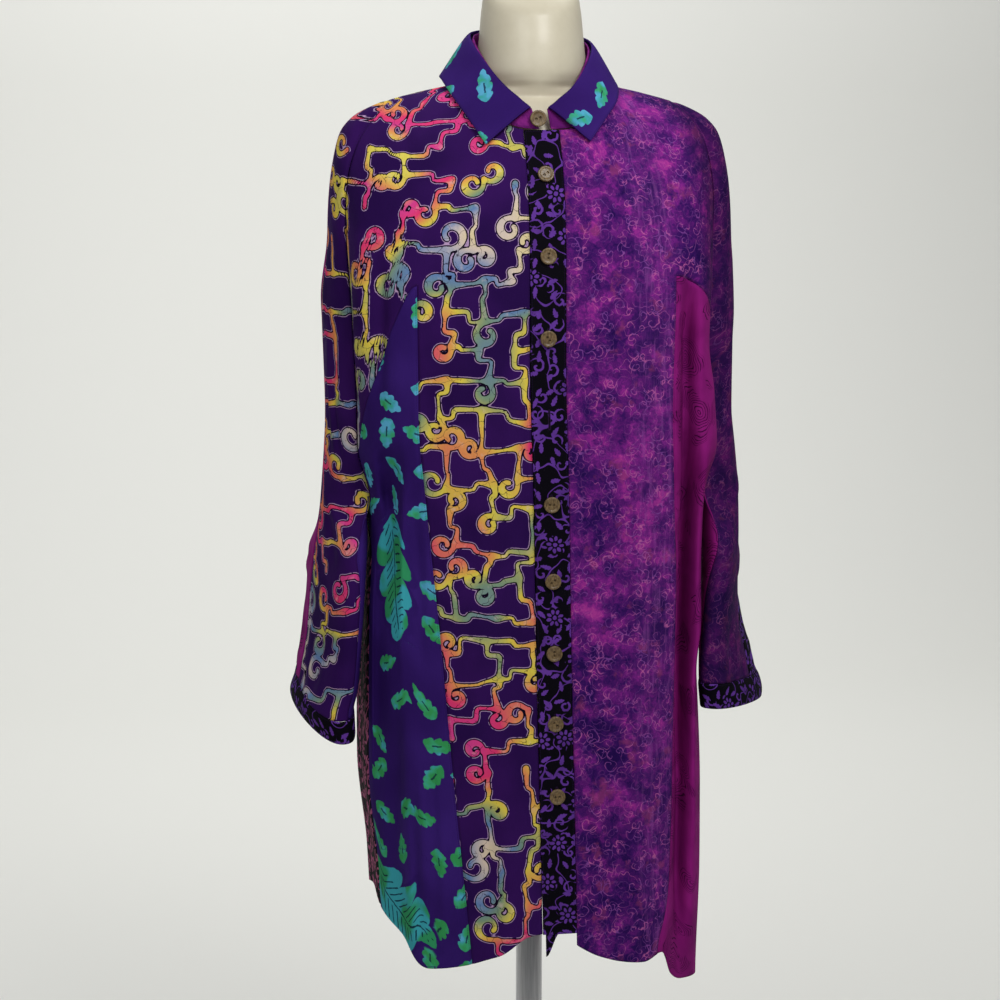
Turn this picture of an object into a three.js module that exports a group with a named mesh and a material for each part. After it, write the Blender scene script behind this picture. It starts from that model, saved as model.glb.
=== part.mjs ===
// Batik shirt dress on a dress form: millimetres, +Z up, front towards -Y.
// The origin is the centre of the stand's underside. "Right" and "left" are the wearer's:
// the right side lies towards -X.
import * as THREE from 'three';

// ---------------------------------------------------------------- driving dimensions
const CLOTH_WALL = 1.5;
const UNDER_SLEEVE_WALL = 1.2;
const SEAM_HALF_GAP = 0.2;
const LAYER_GAP = 0.35;
const APEX_Z = 1214;
const FOLD_ONSET = 2.2; // how soon below its top a fold reaches its full rise
const COLUMN_TOP_GUESS = 1380; // first guesses of the heights that are found step by step
const HEM_GUESS = 530;
const NECK_REACH = 78; // half the neckline's width
const STAND_REACH = 77; // half the width of the stand's foot
const SLEEVE_SQUARENESS = 0.85; // below 1 flattens the sleeve's section
const SLEEVE_JOIN = 70; // the sleeve's tube grows out of the body over this height
const SHOULDER_SPREAD = 110; // the sleeve's columns spread out over this height below the shoulder
const UNDERARM_Z = 1000;
const FRONT_FALL = 220;
const BACK_FALL = 150;
const PLACKET_HALF_WIDTH = 17.5;
const PLACKET_WALL = 2;
const PLACKET_RISE = 1;
const UNDER_PLACKET_HALF_WIDTH = 14;
const UNDER_PLACKET_DROP = 24;
const CUFF_WALL = 2.4;
const COLLAR_WALL = 2;
const STAND_WALL = 1.5;
const STAND_LIFT = 1.1;
const BUTTON_RADIUS = 8;
const BUTTON_THICKNESS = 3;
const BUTTON_HOLE_RADIUS = 1;
const BUTTON_HOLE_OFFSET = 2;
const POLE_RADIUS = 14;
const POLE_SIDES = 20;
const BASE_RADIUS = 165;
const BASE_THICKNESS = 8;
const BASE_SIDES = 40;
const FORM_BOTTOM_Z = 800;
const FORM_SIDES = 28;
const BODY_AXIS = { x: 0, y: 0 };

const UPPER_ROWS = 8;
const MIDDLE_ROWS = 5;
const LOWER_ROWS = 11;
const SLEEVE_LOWER_ROWS = 8;

// ---------------------------------------------------------------- tables by height
// Depth of the dress in front of and behind the body axis.
const DEPTH = [
  // z, front, back, roundness
  [1440, 100, 96, 2.6], [1363, 116, 104, 3.0], [1290, 128, 108, 3.6], [1180, 131, 106, 4.0],
  [1060, 127, 98, 3.8], [940, 123, 100, 3.4], [800, 122, 112, 3.2], [640, 124, 122, 3.0],
  [470, 128, 128, 3.0],
];

// Height of the shoulder line over each distance from the middle.
const SHOULDER_LINE = [
  // x, z
  [0, 1444], [40, 1432], [60, 1421], [75, 1411], [112, 1402], [152, 1391], [181, 1376],
  [193, 1361], [199, 1340],
  [204, 1309], [207.5, 1264], [210, 1200],
];

// Front and back necklines over each distance from the middle.
const NECKLINE = [
  // x, front z, back z
  [0, 1362, 1423], [20, 1363, 1422.5], [42, 1371, 1420], [60, 1387, 1416], [72, 1404, 1411], [78, 1411, 1411],
];

// Where the front and back end and the sleeve's cloth begins, as a distance from the middle over z.
const SLEEVE_START = [
  // z, share of the body's half-width
  [1395, 0.78], [1376, 0.86], [1350, 0.93], [1320, 0.965], [1290, 0.975],
];

const PLACKET_CENTRE = [
  // z, x
  [1400, -4], [1320, -3], [1160, -3], [1000, 2], [780, 7], [700, 9], [560, 12], [480, 13],
];

// Half-width, front panel seam and hem of each side.
const RIGHT_WIDTH = [
  // z, half-width
  [1440, 184], [1376, 188], [1340, 193], [1309, 195], [1222, 191], [1170, 188], [1102, 185], [1050, 184],
  [1000, 172], [960, 170], [880, 174], [712, 177], [604, 167], [480, 163],
];
const LEFT_WIDTH = [
  // z, half-width
  [1440, 178], [1376, 186], [1324, 184], [1245, 179], [1156, 175], [1090, 180], [1050, 183],
  [1000, 174], [960, 171], [868, 169], [760, 171], [605, 173], [483, 170],
];
const RIGHT_SEAM = [
  // z, distance of the front panel's outer seam from the middle
  [1214, 129], [1084, 127.5], [1005, 121], [865, 107], [701, 93], [532, 78], [470, 74],
];
const LEFT_SEAM = [
  // z, distance of the front panel's outer seam from the middle
  [1222, 126], [1098, 124], [997, 129], [895, 136], [686, 136], [600, 131], [530, 117], [470, 114],
];
const RIGHT_HEM = [
  // degrees from the centre front, z
  [0, 560], [8, 558], [22, 538], [34, 529], [47, 524], [55, 536], [61, 550], [74, 567], [90, 575],
  [110, 562], [135, 536], [160, 520], [180, 516],
];
const LEFT_HEM = [
  // degrees from the centre front, z
  [0, 560], [6, 560], [14, 545], [24, 532], [41, 521], [48, 528], [54, 500], [60, 488], [77, 482], [90, 484],
  [110, 492], [135, 504], [160, 513], [180, 516],
];

// The side panels end in a point at the top of the seam and fall away to the sleeve's valley.
const RIGHT_PANEL_TOP = [
  // share of the way from the seam to the valley, z
  [0, 1214], [0.25, 1176], [0.5, 1128], [0.75, 1085], [1, 1048],
];
const LEFT_PANEL_TOP = [
  // share of the way from the seam to the valley, z
  [0, 1222], [0.25, 1214], [0.5, 1203], [0.75, 1188], [1, 1166],
];

// Each sleeve is a flattened tube: its middle, half-thickness, half-depth and toe-in.
const RIGHT_SLEEVE = [
  // z, middle x, middle y, half-thickness, half-depth, toe-in in degrees
  [1376, 172, 0, 13, 12, 4], [1340, 176, 0, 20, 42, 6], [1309, 178, 0, 23, 58, 8], [1250, 183, 2, 24, 70, 9],
  [1194, 190, 4, 24, 76, 10], [1093, 189, 6, 23, 80, 12], [990, 197, 6, 21, 78, 12],
  [865, 206, 2, 21, 74, 13],
  [800, 214, 0, 24, 72, 14], [780, 219, 0, 25, 72, 14], [740, 216, 0, 23, 70, 14],
];
const LEFT_SLEEVE = [
  // z, middle x, middle y, half-thickness, half-depth, toe-in in degrees
  [1376, 168, 0, 13, 12, 4], [1340, 170, 0, 22, 42, 6], [1309, 175, 0, 25, 58, 8], [1250, 181, 2, 26, 70, 10],
  [1194, 184, 4, 26, 76, 10], [1093, 187, 6, 24, 80, 9], [990, 199, 4, 22, 76, 8], [920, 202, 2, 21, 75, 12],
  [865, 204, 2, 20, 75, 18],
  [800, 210, 0, 22, 74, 25], [764, 214, 0, 23, 74, 27], [740, 214, 0, 23, 74, 27],
];

// Long soft folds of the skirt and the fronts, as ridges that run down the cloth.
const FOLDS = [
  // side, degrees at the top, degrees at the foot, top z, foot z, rise, half-width in degrees
  [-1, 52, 50, 900, 500, 5, 6], [-1, 66, 60, 860, 520, -5, 7], [-1, 30, 27, 760, 500, -4, 6],
  [-1, 16, 18, 720, 500, 3, 6], [-1, 104, 108, 960, 500, 6, 9], [-1, 128, 132, 1080, 500, -6, 9],
  [-1, 152, 158, 1200, 500, 5, 10], [1, 14, 30, 780, 600, 3.5, 6], [1, 26, 34, 760, 500, -4, 6],
  [1, 60, 57, 900, 480, -5, 6], [1, 74, 72, 860, 480, 5, 7], [1, 100, 104, 1000, 480, -5, 8],
  [1, 122, 126, 1060, 480, 6, 9], [1, 150, 150, 1180, 480, -6, 10], [1, 176, 178, 1120, 480, 4, 9],
];

const BUTTONS_ON_PLACKET = [1319, 1242, 1163, 1000, 923, 850, 778, 703];
const STAND_BUTTON = { x: -7, y: -90, z: 1373, tilt: 18 };

const COLOURS = {
  lattice: 0x2d1252, leaf: 0x38206e, scroll: 0x822a8c, contour: 0x871e78, blackFloral: 0x171020,
  blackPink: 0x2a1424, stand: 0x781e78, button: 0x8c7350, form: 0xd8d0b8, metal: 0xb8b8ba,
};

// ---------------------------------------------------------------- small helpers
const radians = THREE.MathUtils.degToRad;
const clamp01 = (value) => Math.min(1, Math.max(0, value));
const mix = (a, b, t) => a + (b - a) * t;
const smooth = (value) => {
  const t = clamp01(value);
  return t * t * (3 - 2 * t);
};

// Reads a column of a table at a key, with a smooth curve through its rows (monotone cubic).
function reader(rows, column = 1) {
  const sorted = [...rows].sort((a, b) => a[0] - b[0]);
  const keys = sorted.map((row) => row[0]);
  const values = sorted.map((row) => row[column]);
  const secants = keys.slice(1).map((key, i) => (values[i + 1] - values[i]) / (key - keys[i]));
  const slopes = values.map((_, i) => {
    if (i === 0 || i === values.length - 1 || secants[i - 1] * secants[i] <= 0) return 0;
    return (2 * secants[i - 1] * secants[i]) / (secants[i - 1] + secants[i]);
  });
  return (key) => {
    if (key <= keys[0]) return values[0];
    if (key >= keys[keys.length - 1]) return values[values.length - 1];
    const i = keys.findIndex((k) => k > key) - 1;
    const step = keys[i + 1] - keys[i];
    const t = (key - keys[i]) / step;
    const rise = values[i + 1] - values[i];
    const a = slopes[i] * step;
    const b = slopes[i + 1] * step;
    return values[i] + t * (a + t * (3 * rise - 2 * a - b + t * (a + b - 2 * rise)));
  };
}

const frontDepth = reader(DEPTH, 1);
const backDepth = reader(DEPTH, 2);
const roundness = reader(DEPTH, 3);
const shoulderLine = reader(SHOULDER_LINE);
const frontNeckline = reader(NECKLINE, 1);
const backNeckline = reader(NECKLINE, 2);
const placketCentre = reader(PLACKET_CENTRE);
const sleeveStart = reader(SLEEVE_START);
const shoulderReach = reader(SHOULDER_LINE.map(([x, z]) => [z, x]));

const SIDES = {
  right: {
    sign: -1, width: reader(RIGHT_WIDTH), seam: reader(RIGHT_SEAM), hem: reader(RIGHT_HEM),
    panelTop: reader(RIGHT_PANEL_TOP), sleeve: RIGHT_SLEEVE, cuffFoot: 768, cuffSlant: 19, cuffHeight: 24,
  },
  left: {
    sign: 1, width: reader(LEFT_WIDTH), seam: reader(LEFT_SEAM), hem: reader(LEFT_HEM),
    panelTop: reader(LEFT_PANEL_TOP), sleeve: LEFT_SLEEVE, cuffFoot: 764, cuffSlant: -8, cuffHeight: 27,
  },
};

// ---------------------------------------------------------------- the body of the dress
// Height added to the body's radius by the long folds at an angle and a height.
function foldRise(side, degrees, z) {
  let rise = 0;
  for (const [sign, topAngle, footAngle, topZ, footZ, amount, halfWidth] of FOLDS) {
    if (sign !== side.sign) continue;
    const down = clamp01((topZ - z) / (topZ - footZ));
    const offset = (degrees - mix(topAngle, footAngle, down)) / halfWidth;
    rise += amount * smooth(down * FOLD_ONSET) * Math.exp(-offset * offset);
  }
  return rise;
}

// Radius of the rounded-box section in a direction given as degrees from the centre front.
function bodyRadius(side, degrees, z) {
  const angle = radians(degrees);
  const depth = degrees < 90 ? frontDepth(z) : backDepth(z);
  const power = roundness(z);
  const across = Math.abs(Math.sin(angle)) / side.width(z);
  const along = Math.abs(Math.cos(angle)) / depth;
  return (across ** power + along ** power) ** (-1 / power) + foldRise(side, degrees, z);
}

// Point of the outer cloth. Above the chest the depth falls away to nothing at the shoulder line.
function bodyPoint(side, degrees, z) {
  const radius = bodyRadius(side, degrees, z);
  const x = radius * Math.sin(radians(degrees));
  const below = clamp01((shoulderLine(x) - z) / (degrees < 90 ? FRONT_FALL : BACK_FALL));
  const y = -radius * Math.cos(radians(degrees)) * Math.sqrt(1 - (1 - below) ** 2);
  return new THREE.Vector3(side.sign * x, y, z);
}

// Direction in which the body section lies a distance x from the middle, in front or behind.
function bodyAngle(side, x, z, behind = false) {
  const power = roundness(z);
  const depth = behind ? backDepth(z) : frontDepth(z);
  const y = depth * Math.max(0, 1 - (Math.abs(x) / side.width(z)) ** power) ** (1 / power);
  const degrees = THREE.MathUtils.radToDeg(Math.atan2(x, y));
  return behind ? 180 - degrees : degrees;
}

// How far the cloth turns round the body's edge before the sleeve leaves it, in degrees.
const valleyTurn = (z) => 5 * smooth((1330 - z) / 100);

// Share of the way that the side seam has swung forward below the underarm.
const seamSwing = (z) => smooth((UNDERARM_Z - z) / 60);

// Seam curves, each as degrees from the centre front at a height.
const seams = {
  frontEdge: (side) => (z) => bodyAngle(side, PLACKET_HALF_WIDTH + side.sign * placketCentre(z), z),
  panel: (side) => (z) => bodyAngle(side, side.seam(z), z),
  frontValley: (side) => (z) =>
    bodyAngle(side, side.width(z) * sleeveStart(z), z) + valleyTurn(z) - 7 * seamSwing(z),
  sideSeam: () => (z) => 97 - 21 * seamSwing(z),
  backValley: (side) => (z) => bodyAngle(side, side.width(z) * sleeveStart(z), z, true) - valleyTurn(z),
  centreBack: () => () => 180,
};

// Highest point of a column: on the shoulder line, or on the neckline where that is lower.
function columnTop(side, degreesAt, behind) {
  const neckline = behind ? backNeckline : frontNeckline;
  let z = COLUMN_TOP_GUESS;
  for (let step = 0; step < 30; step += 1) {
    const degrees = degreesAt(z);
    const x = Math.abs(bodyRadius(side, degrees, z) * Math.sin(radians(degrees)));
    const edge = shoulderLine(x) - 0.01;
    const limit = x < NECK_REACH ? Math.min(neckline(x), edge) : edge;
    z = mix(z, limit, 0.5);
  }
  return z;
}

// Heights of the rows that every panel of the body shares, from a column's top to its hem. The chest
// row is the one along which a side panel meets the front above it.
function bodyRows(top, chest, foot) {
  const rows = [];
  for (let i = 0; i < UPPER_ROWS; i += 1) rows.push(mix(top, chest, (i / UPPER_ROWS) ** 1.7));
  for (let i = 0; i < MIDDLE_ROWS; i += 1) rows.push(mix(chest, UNDERARM_Z, i / MIDDLE_ROWS));
  for (let i = 0; i <= LOWER_ROWS; i += 1) rows.push(mix(UNDERARM_Z, foot, i / LOWER_ROWS));
  return rows;
}
const CHEST_ROW = UPPER_ROWS;
const UNDERARM_ROW = UPPER_ROWS + MIDDLE_ROWS;

// Hem height of the column that reaches the hem in a direction.
function hemHeight(side, degreesAt) {
  let z = HEM_GUESS;
  for (let step = 0; step < 12; step += 1) z = mix(z, side.hem(degreesAt(z)), 0.7);
  return z;
}

// One column of body points below each other, along a curve given as degrees over height.
function bodyColumn(side, degreesAt, chest, behind) {
  const rows = bodyRows(columnTop(side, degreesAt, behind), chest, hemHeight(side, degreesAt));
  return rows.map((z) => bodyPoint(side, degreesAt(z), z));
}

// Columns between two seam curves. The chest row's height is a function of the share of the way.
function bodyColumns(side, from, to, count, chestAt = () => APEX_Z, behind = false) {
  const columns = [];
  for (let i = 0; i <= count; i += 1) {
    const share = i / count;
    columns.push(bodyColumn(side, (z) => mix(from(z), to(z), share), chestAt(share), behind));
  }
  return columns;
}

// ---------------------------------------------------------------- sleeves
function sleeveShape(side) {
  const columns = [1, 2, 3, 4, 5].map((column) => reader(side.sleeve, column));
  return (z) => {
    const [x, y, thickness, depth, toeIn] = columns.map((read) => read(z));
    return { x, y, thickness, depth, toeIn: radians(toeIn) };
  };
}

// Point of the free tube. 0 degrees is its outer edge, -90 its front end, 180 faces the body.
function tubePoint(side, shape, degrees, z) {
  const { x, y, thickness, depth, toeIn } = shape(z);
  const cosine = Math.cos(radians(degrees));
  const out = thickness * Math.sign(cosine) * Math.abs(cosine) ** SLEEVE_SQUARENESS;
  const along = depth * Math.sin(radians(degrees));
  const px = x + out * Math.cos(toeIn) + along * Math.sin(toeIn);
  const py = y - out * Math.sin(toeIn) + along * Math.cos(toeIn);
  return new THREE.Vector3(side.sign * px, py, z);
}

const SLEEVE_SEAM = 70;
const SLEEVE_TOP_X = 199;
const OUTER_EDGE_CHEST_Z = 1150;
const BODY_CLEARANCE = 3;

// Keeps a sleeve point outside the body of the dress, by a clearance that grows below the underarm.
function clearOfBody(side, point) {
  const degrees = THREE.MathUtils.radToDeg(Math.atan2(point.x * side.sign, -point.y));
  const clearance = 0.5 + BODY_CLEARANCE * smooth((UNDERARM_Z - point.z) / 60);
  const needed = bodyRadius(side, degrees, point.z) + clearance;
  const radius = Math.hypot(point.x, point.y);
  if (radius >= needed || point.z > UNDERARM_Z) return point;
  return new THREE.Vector3((point.x * needed) / radius, (point.y * needed) / radius, point.z);
}

// How far the sleeve is part of the body: wholly above the underarm, not at all well below it.
const joined = (z) => smooth((z - (UNDERARM_Z - SLEEVE_JOIN)) / SLEEVE_JOIN);

// Foot of the sleeve, where the cuff starts: it slants with the cuff.
function cuffTop(side, shape, degrees) {
  const lean = Math.sin(radians(degrees)) * shape(side.cuffFoot).depth;
  return side.cuffFoot + side.cuffHeight + (side.cuffSlant * lean) / 75;
}

// Outer edge of the sleeve: the shoulder line at the top, then the tube's own edge.
function outerEdge(side, shape, z) {
  const low = tubePoint(side, shape, 0, z);
  const high = new THREE.Vector3(side.sign * shoulderReach(z), 0, z);
  return high.lerp(low, smooth((1300 - z) / 90));
}

// Cloth between the body's valley and the outer edge, a quarter oval at every height. The share
// runs from 0 at the valley to 1 at the edge, and a column that starts on the shoulder line leaves it there.
function shoulderCloth(side, shape, valley, share, z, top) {
  const level = Math.max(z, UNDERARM_Z);
  const from = bodyPoint(side, valley(level), level);
  const to = outerEdge(side, shape, z);
  const nearTop = share > 0 ? clamp01(1 - (top - z) / SHOULDER_SPREAD) ** 2 : 0;
  const across = mix(Math.sin((share * Math.PI) / 2), 1, nearTop);
  const along = Math.sqrt(1 - Math.min(1, across) ** 2);
  return new THREE.Vector3(mix(from.x, to.x, across), mix(to.y, from.y, along), z);
}

// Front or back half of a sleeve: columns from the body's valley to the outer edge.
function sleeveHalf(side, front, count) {
  const shape = sleeveShape(side);
  const valley = front ? seams.frontValley(side) : seams.backValley(side);
  const start = columnTop(side, valley, !front);
  const startX = Math.abs(bodyPoint(side, valley(start), start).x);
  const columns = [];
  for (let i = 0; i <= count; i += 1) {
    const share = i / count;
    const degrees = (front ? -1 : 1) * SLEEVE_SEAM * (1 - share);
    const top = share > 0 ? shoulderLine(mix(startX, SLEEVE_TOP_X, share)) - 0.01 : start;
    const chest = mix(front ? side.panelTop(1) : APEX_Z, OUTER_EDGE_CHEST_Z, share);
    const rows = bodyRows(top, chest, UNDERARM_Z).slice(0, UNDERARM_ROW + 1);
    const foot = cuffTop(side, shape, degrees);
    for (let row = 1; row <= SLEEVE_LOWER_ROWS; row += 1) {
      rows.push(mix(UNDERARM_Z, foot, row / SLEEVE_LOWER_ROWS));
    }
    columns.push(rows.map((z) => {
      const cloth = shoulderCloth(side, shape, valley, share, z, top);
      return clearOfBody(side, tubePoint(side, shape, degrees, z).lerp(cloth, joined(z)));
    }));
  }
  return columns;
}

// Under side of a sleeve: from the front seam round the inside to the back seam.
function sleeveUnder(side, count) {
  const shape = sleeveShape(side);
  const front = seams.frontValley(side)(UNDERARM_Z);
  const back = seams.backValley(side)(UNDERARM_Z);
  const columns = [];
  for (let i = 0; i <= count; i += 1) {
    const t = i / count;
    const degrees = -SLEEVE_SEAM - t * (360 - 2 * SLEEVE_SEAM);
    const anchor = bodyPoint(side, mix(front, back, t), UNDERARM_Z);
    const outwards = anchor.clone().setZ(0).normalize().multiplyScalar(t > 0 && t < 1 ? 0.5 : 0);
    const foot = cuffTop(side, shape, degrees);
    const column = [];
    for (let row = 0; row <= SLEEVE_LOWER_ROWS; row += 1) {
      const z = mix(UNDERARM_Z, foot, row / SLEEVE_LOWER_ROWS);
      const target = anchor.clone().add(outwards).setZ(z);
      column.push(clearOfBody(side, tubePoint(side, shape, degrees, z).lerp(target, joined(z))));
    }
    columns.push(column);
  }
  return columns;
}

// Closed band round the foot of a sleeve.
function cuffColumns(side, count) {
  const shape = sleeveShape(side);
  const columns = [];
  for (let i = 0; i <= count; i += 1) {
    const degrees = (i * 360) / count;
    const top = cuffTop(side, shape, degrees) - LAYER_GAP;
    const rows = [top, top - side.cuffHeight / 2, top - side.cuffHeight];
    columns.push(rows.map((z) => tubePoint(side, shape, degrees, z)));
  }
  return columns;
}

// ---------------------------------------------------------------- panels as thin solids
const pointKey = (point) => [point.x, point.y, point.z].map((value) => Math.round(value * 40)).join(',');

// A panel is a grid of columns of points. Cells may be left out, and a ring's last column is its first.
class Panel {
  constructor(name, columns, colour, options = {}) {
    this.name = name;
    this.columns = columns;
    this.colour = colour;
    this.wall = options.wall ?? CLOTH_WALL;
    this.rise = options.rise ?? 0;
    this.axis = options.axis ?? (() => BODY_AXIS);
    this.ring = options.ring ?? false;
    this.has = options.has ?? (() => true);
    this.trim = options.trim ?? SEAM_HALF_GAP;
    this.widthCells = columns.length - 1;
    this.rowCells = columns[0].length - 1;
  }

  id(i, j) {
    return (this.ring ? i % this.widthCells : i) * (this.rowCells + 1) + j;
  }

  point(i, j) {
    return this.columns[this.ring ? i % this.widthCells : i][j];
  }

  cells() {
    const list = [];
    for (let i = 0; i < this.widthCells; i += 1) {
      for (let j = 0; j < this.rowCells; j += 1) if (this.has(i, j)) list.push([i, j]);
    }
    return list;
  }

  // Outward normals at the grid's points, from the faces round each.
  findNormals() {
    this.normals = new Map();
    this.places = new Map();
    let facing = 0;
    for (const [i, j] of this.cells()) {
      const corners = [[i, j], [i + 1, j], [i + 1, j + 1], [i, j + 1]];
      const points = corners.map(([a, b]) => this.point(a, b));
      const normal = points[2].clone().sub(points[0]).cross(points[3].clone().sub(points[1]));
      const middle = points[0].clone().add(points[2]).multiplyScalar(0.5);
      const axis = this.axis(middle.z);
      facing += normal.x * (middle.x - axis.x) + normal.y * (middle.y - axis.y);
      corners.forEach(([a, b], index) => {
        const id = this.id(a, b);
        this.places.set(id, points[index]);
        this.normals.set(id, (this.normals.get(id) ?? new THREE.Vector3()).add(normal));
      });
    }
    this.flip = facing < 0;
    for (const normal of this.normals.values()) normal.normalize().multiplyScalar(this.flip ? -1 : 1);
  }

  // Edges that belong to one cell only, each with its cell.
  border(quads) {
    const edges = new Map();
    for (const quad of quads) {
      quad.forEach((from, index) => {
        const to = quad[(index + 1) % 4];
        if (edges.has(`${to},${from}`)) edges.delete(`${to},${from}`);
        else edges.set(`${from},${to}`, { from, to, quad });
      });
    }
    return [...edges.values()];
  }

  // Step along the cloth, square to the border, that sets each border point back by one unit.
  inwardAtBorder(border) {
    const steps = new Map();
    for (const { from, to, quad } of border) {
      const total = quad.reduce((sum, id) => sum.add(this.places.get(id)), new THREE.Vector3());
      const middle = total.multiplyScalar(0.25);
      const along = this.places.get(to).clone().sub(this.places.get(from)).normalize();
      for (const id of [from, to]) {
        const step = middle.clone().sub(this.places.get(id));
        step.addScaledVector(along, -step.dot(along));
        const normal = this.normals.get(id);
        step.addScaledVector(normal, -step.dot(normal)).normalize();
        if (!steps.has(id)) steps.set(id, []);
        steps.get(id).push(step);
      }
    }
    const inward = new Map();
    for (const [id, list] of steps) {
      const [first, second = first] = list;
      inward.set(id, first.clone().add(second).divideScalar(Math.max(0.6, 1 + first.dot(second))));
    }
    return inward;
  }

  mesh() {
    const quads = this.cells().map(([i, j]) => {
      const quad = [this.id(i, j), this.id(i + 1, j), this.id(i + 1, j + 1), this.id(i, j + 1)];
      return this.flip ? quad.reverse() : quad;
    });
    const border = this.border(quads);
    const inward = this.inwardAtBorder(border);
    const order = [...this.places.keys()];
    const slot = new Map(order.map((id, index) => [id, index]));
    const positions = [];
    for (const depth of [this.rise, this.rise - this.wall]) {
      for (const id of order) {
        const place = this.places.get(id).clone().addScaledVector(this.normals.get(id), depth);
        if (inward.has(id)) place.addScaledVector(inward.get(id), this.trim);
        positions.push(place.x, place.y, place.z);
      }
    }
    const inner = order.length;
    const faces = [];
    for (const quad of quads) {
      const [a, b, c, d] = quad.map((id) => slot.get(id));
      faces.push(a, b, c, a, c, d);
      faces.push(inner + c, inner + b, inner + a, inner + d, inner + c, inner + a);
    }
    for (const { from, to } of border) {
      const a = slot.get(from);
      const b = slot.get(to);
      faces.push(b, a, inner + a, b, inner + a, inner + b);
    }
    return solid(this.name, positions, faces, this.colour);
  }
}

// Seam points that panels share get one normal, unless the panels face different ways there.
function shareNormals(panels) {
  const shared = new Map();
  for (const panel of panels) {
    for (const [id, place] of panel.places) {
      const key = pointKey(place);
      if (!shared.has(key)) shared.set(key, []);
      shared.get(key).push({ panel, id, normal: panel.normals.get(id).clone() });
    }
  }
  for (const group of shared.values()) {
    for (const { panel, id, normal } of group) {
      const sum = new THREE.Vector3();
      for (const other of group) if (other.normal.dot(normal) > -0.85) sum.add(other.normal);
      panel.normals.set(id, sum.normalize());
    }
  }
}

function finish(colour, roughness = 0.85, metalness = 0) {
  return new THREE.MeshStandardMaterial({ color: colour, roughness, metalness });
}

function solid(name, positions, faces, colour) {
  const geometry = new THREE.BufferGeometry();
  geometry.setAttribute('position', new THREE.Float32BufferAttribute(positions, 3));
  geometry.setIndex(faces);
  geometry.computeVertexNormals();
  const mesh = new THREE.Mesh(geometry, finish(colour));
  mesh.name = name;
  return mesh;
}

// ---------------------------------------------------------------- the dress's panels
function sidePanels(sideName, prints) {
  const side = SIDES[sideName];
  const shape = sleeveShape(side);
  const sleeveAxis = (z) => ({ x: side.sign * shape(z).x, y: shape(z).y });
  const frontEdge = seams.frontEdge(side);
  const panelSeam = seams.panel(side);
  const valley = seams.frontValley(side);
  const sideSeam = seams.sideSeam(side);
  const frontCount = 9;
  const flankCount = 4;
  const wrapCount = 2;

  const apex = side.panelTop(0);
  const front = bodyColumns(side, frontEdge, panelSeam, frontCount, (share) => mix(APEX_Z, apex, share));
  const flank = bodyColumns(side, panelSeam, valley, flankCount, side.panelTop);
  const wrap = bodyColumns(side, valley, sideSeam, wrapCount, () => side.panelTop(1));
  const frontColumns = [...front, ...flank.slice(1)];
  const panelColumns = [...flank, ...wrap.slice(1)];
  return [
    new Panel(`${sideName}_front`, frontColumns, prints.front, {
      has: (i, j) => i < frontCount || j < CHEST_ROW,
    }),
    new Panel(`${sideName}_side_panel`, panelColumns, prints.side, {
      has: (i, j) => j >= (i < flankCount ? CHEST_ROW : UNDERARM_ROW),
    }),
    new Panel(`${sideName}_sleeve_front`, sleeveHalf(side, true, 5), prints.front, { axis: sleeveAxis }),
    new Panel(`${sideName}_sleeve_back`, sleeveHalf(side, false, 5), prints.sleeveBack, { axis: sleeveAxis }),
    new Panel(`${sideName}_sleeve_under`, sleeveUnder(side, 7), prints.side, {
      axis: sleeveAxis, wall: UNDER_SLEEVE_WALL, trim: 1.5 * SEAM_HALF_GAP,
    }),
    new Panel(`${sideName}_cuff`, cuffColumns(side, 20), COLOURS.blackFloral, {
      axis: sleeveAxis, ring: true, wall: CUFF_WALL, rise: 0.4,
    }),
  ];
}

// The back goes from side seam to side seam. Above the underarm it ends at the sleeves' valleys.
function backPanel() {
  const halfCount = 8;
  const wrapCount = 4;
  const half = (side) => [
    ...bodyColumns(side, seams.sideSeam(side), seams.backValley(side), wrapCount, () => APEX_Z, true),
    ...bodyColumns(side, seams.backValley(side), seams.centreBack(side), halfCount, () => APEX_Z, true)
      .slice(1),
  ];
  const columns = [...half(SIDES.right), ...half(SIDES.left).reverse().slice(1)];
  const last = columns.length - 2;
  return new Panel('back', columns, COLOURS.blackPink, {
    has: (i, j) => (i >= wrapCount && i <= last - wrapCount) || j >= UNDERARM_ROW,
  });
}

// Strip of the front round the placket's centre line, from the neckline to a foot that may slant.
function frontStrip(halfWidth, count, top, footAt, rowCount) {
  const columns = [];
  for (let i = 0; i <= count; i += 1) {
    const offset = mix(-halfWidth, halfWidth, i / count);
    const column = [];
    for (let row = 0; row <= rowCount; row += 1) {
      const z = mix(top, footAt(i / count), row / rowCount);
      const x = placketCentre(z) + offset;
      const side = x < 0 ? SIDES.right : SIDES.left;
      column.push(bodyPoint(side, bodyAngle(side, Math.abs(x), z), z));
    }
    columns.push(column);
  }
  return columns;
}

function placketPanels() {
  const top = frontNeckline(0) - LAYER_GAP;
  const foot = SIDES.right.hem(4);
  const underFoot = (share) => foot - UNDER_PLACKET_DROP * (1 - smooth(share / 0.5));
  const over = frontStrip(PLACKET_HALF_WIDTH - 0.1, 3, top, () => foot, 26);
  const under = frontStrip(UNDER_PLACKET_HALF_WIDTH, 4, top, underFoot, 26);
  const underRise = PLACKET_RISE - PLACKET_WALL - LAYER_GAP;
  return [
    new Panel('placket', over, COLOURS.blackFloral, { wall: PLACKET_WALL, rise: PLACKET_RISE }),
    new Panel('under_placket', under, COLOURS.blackFloral, { rise: underRise }),
  ];
}

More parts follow.
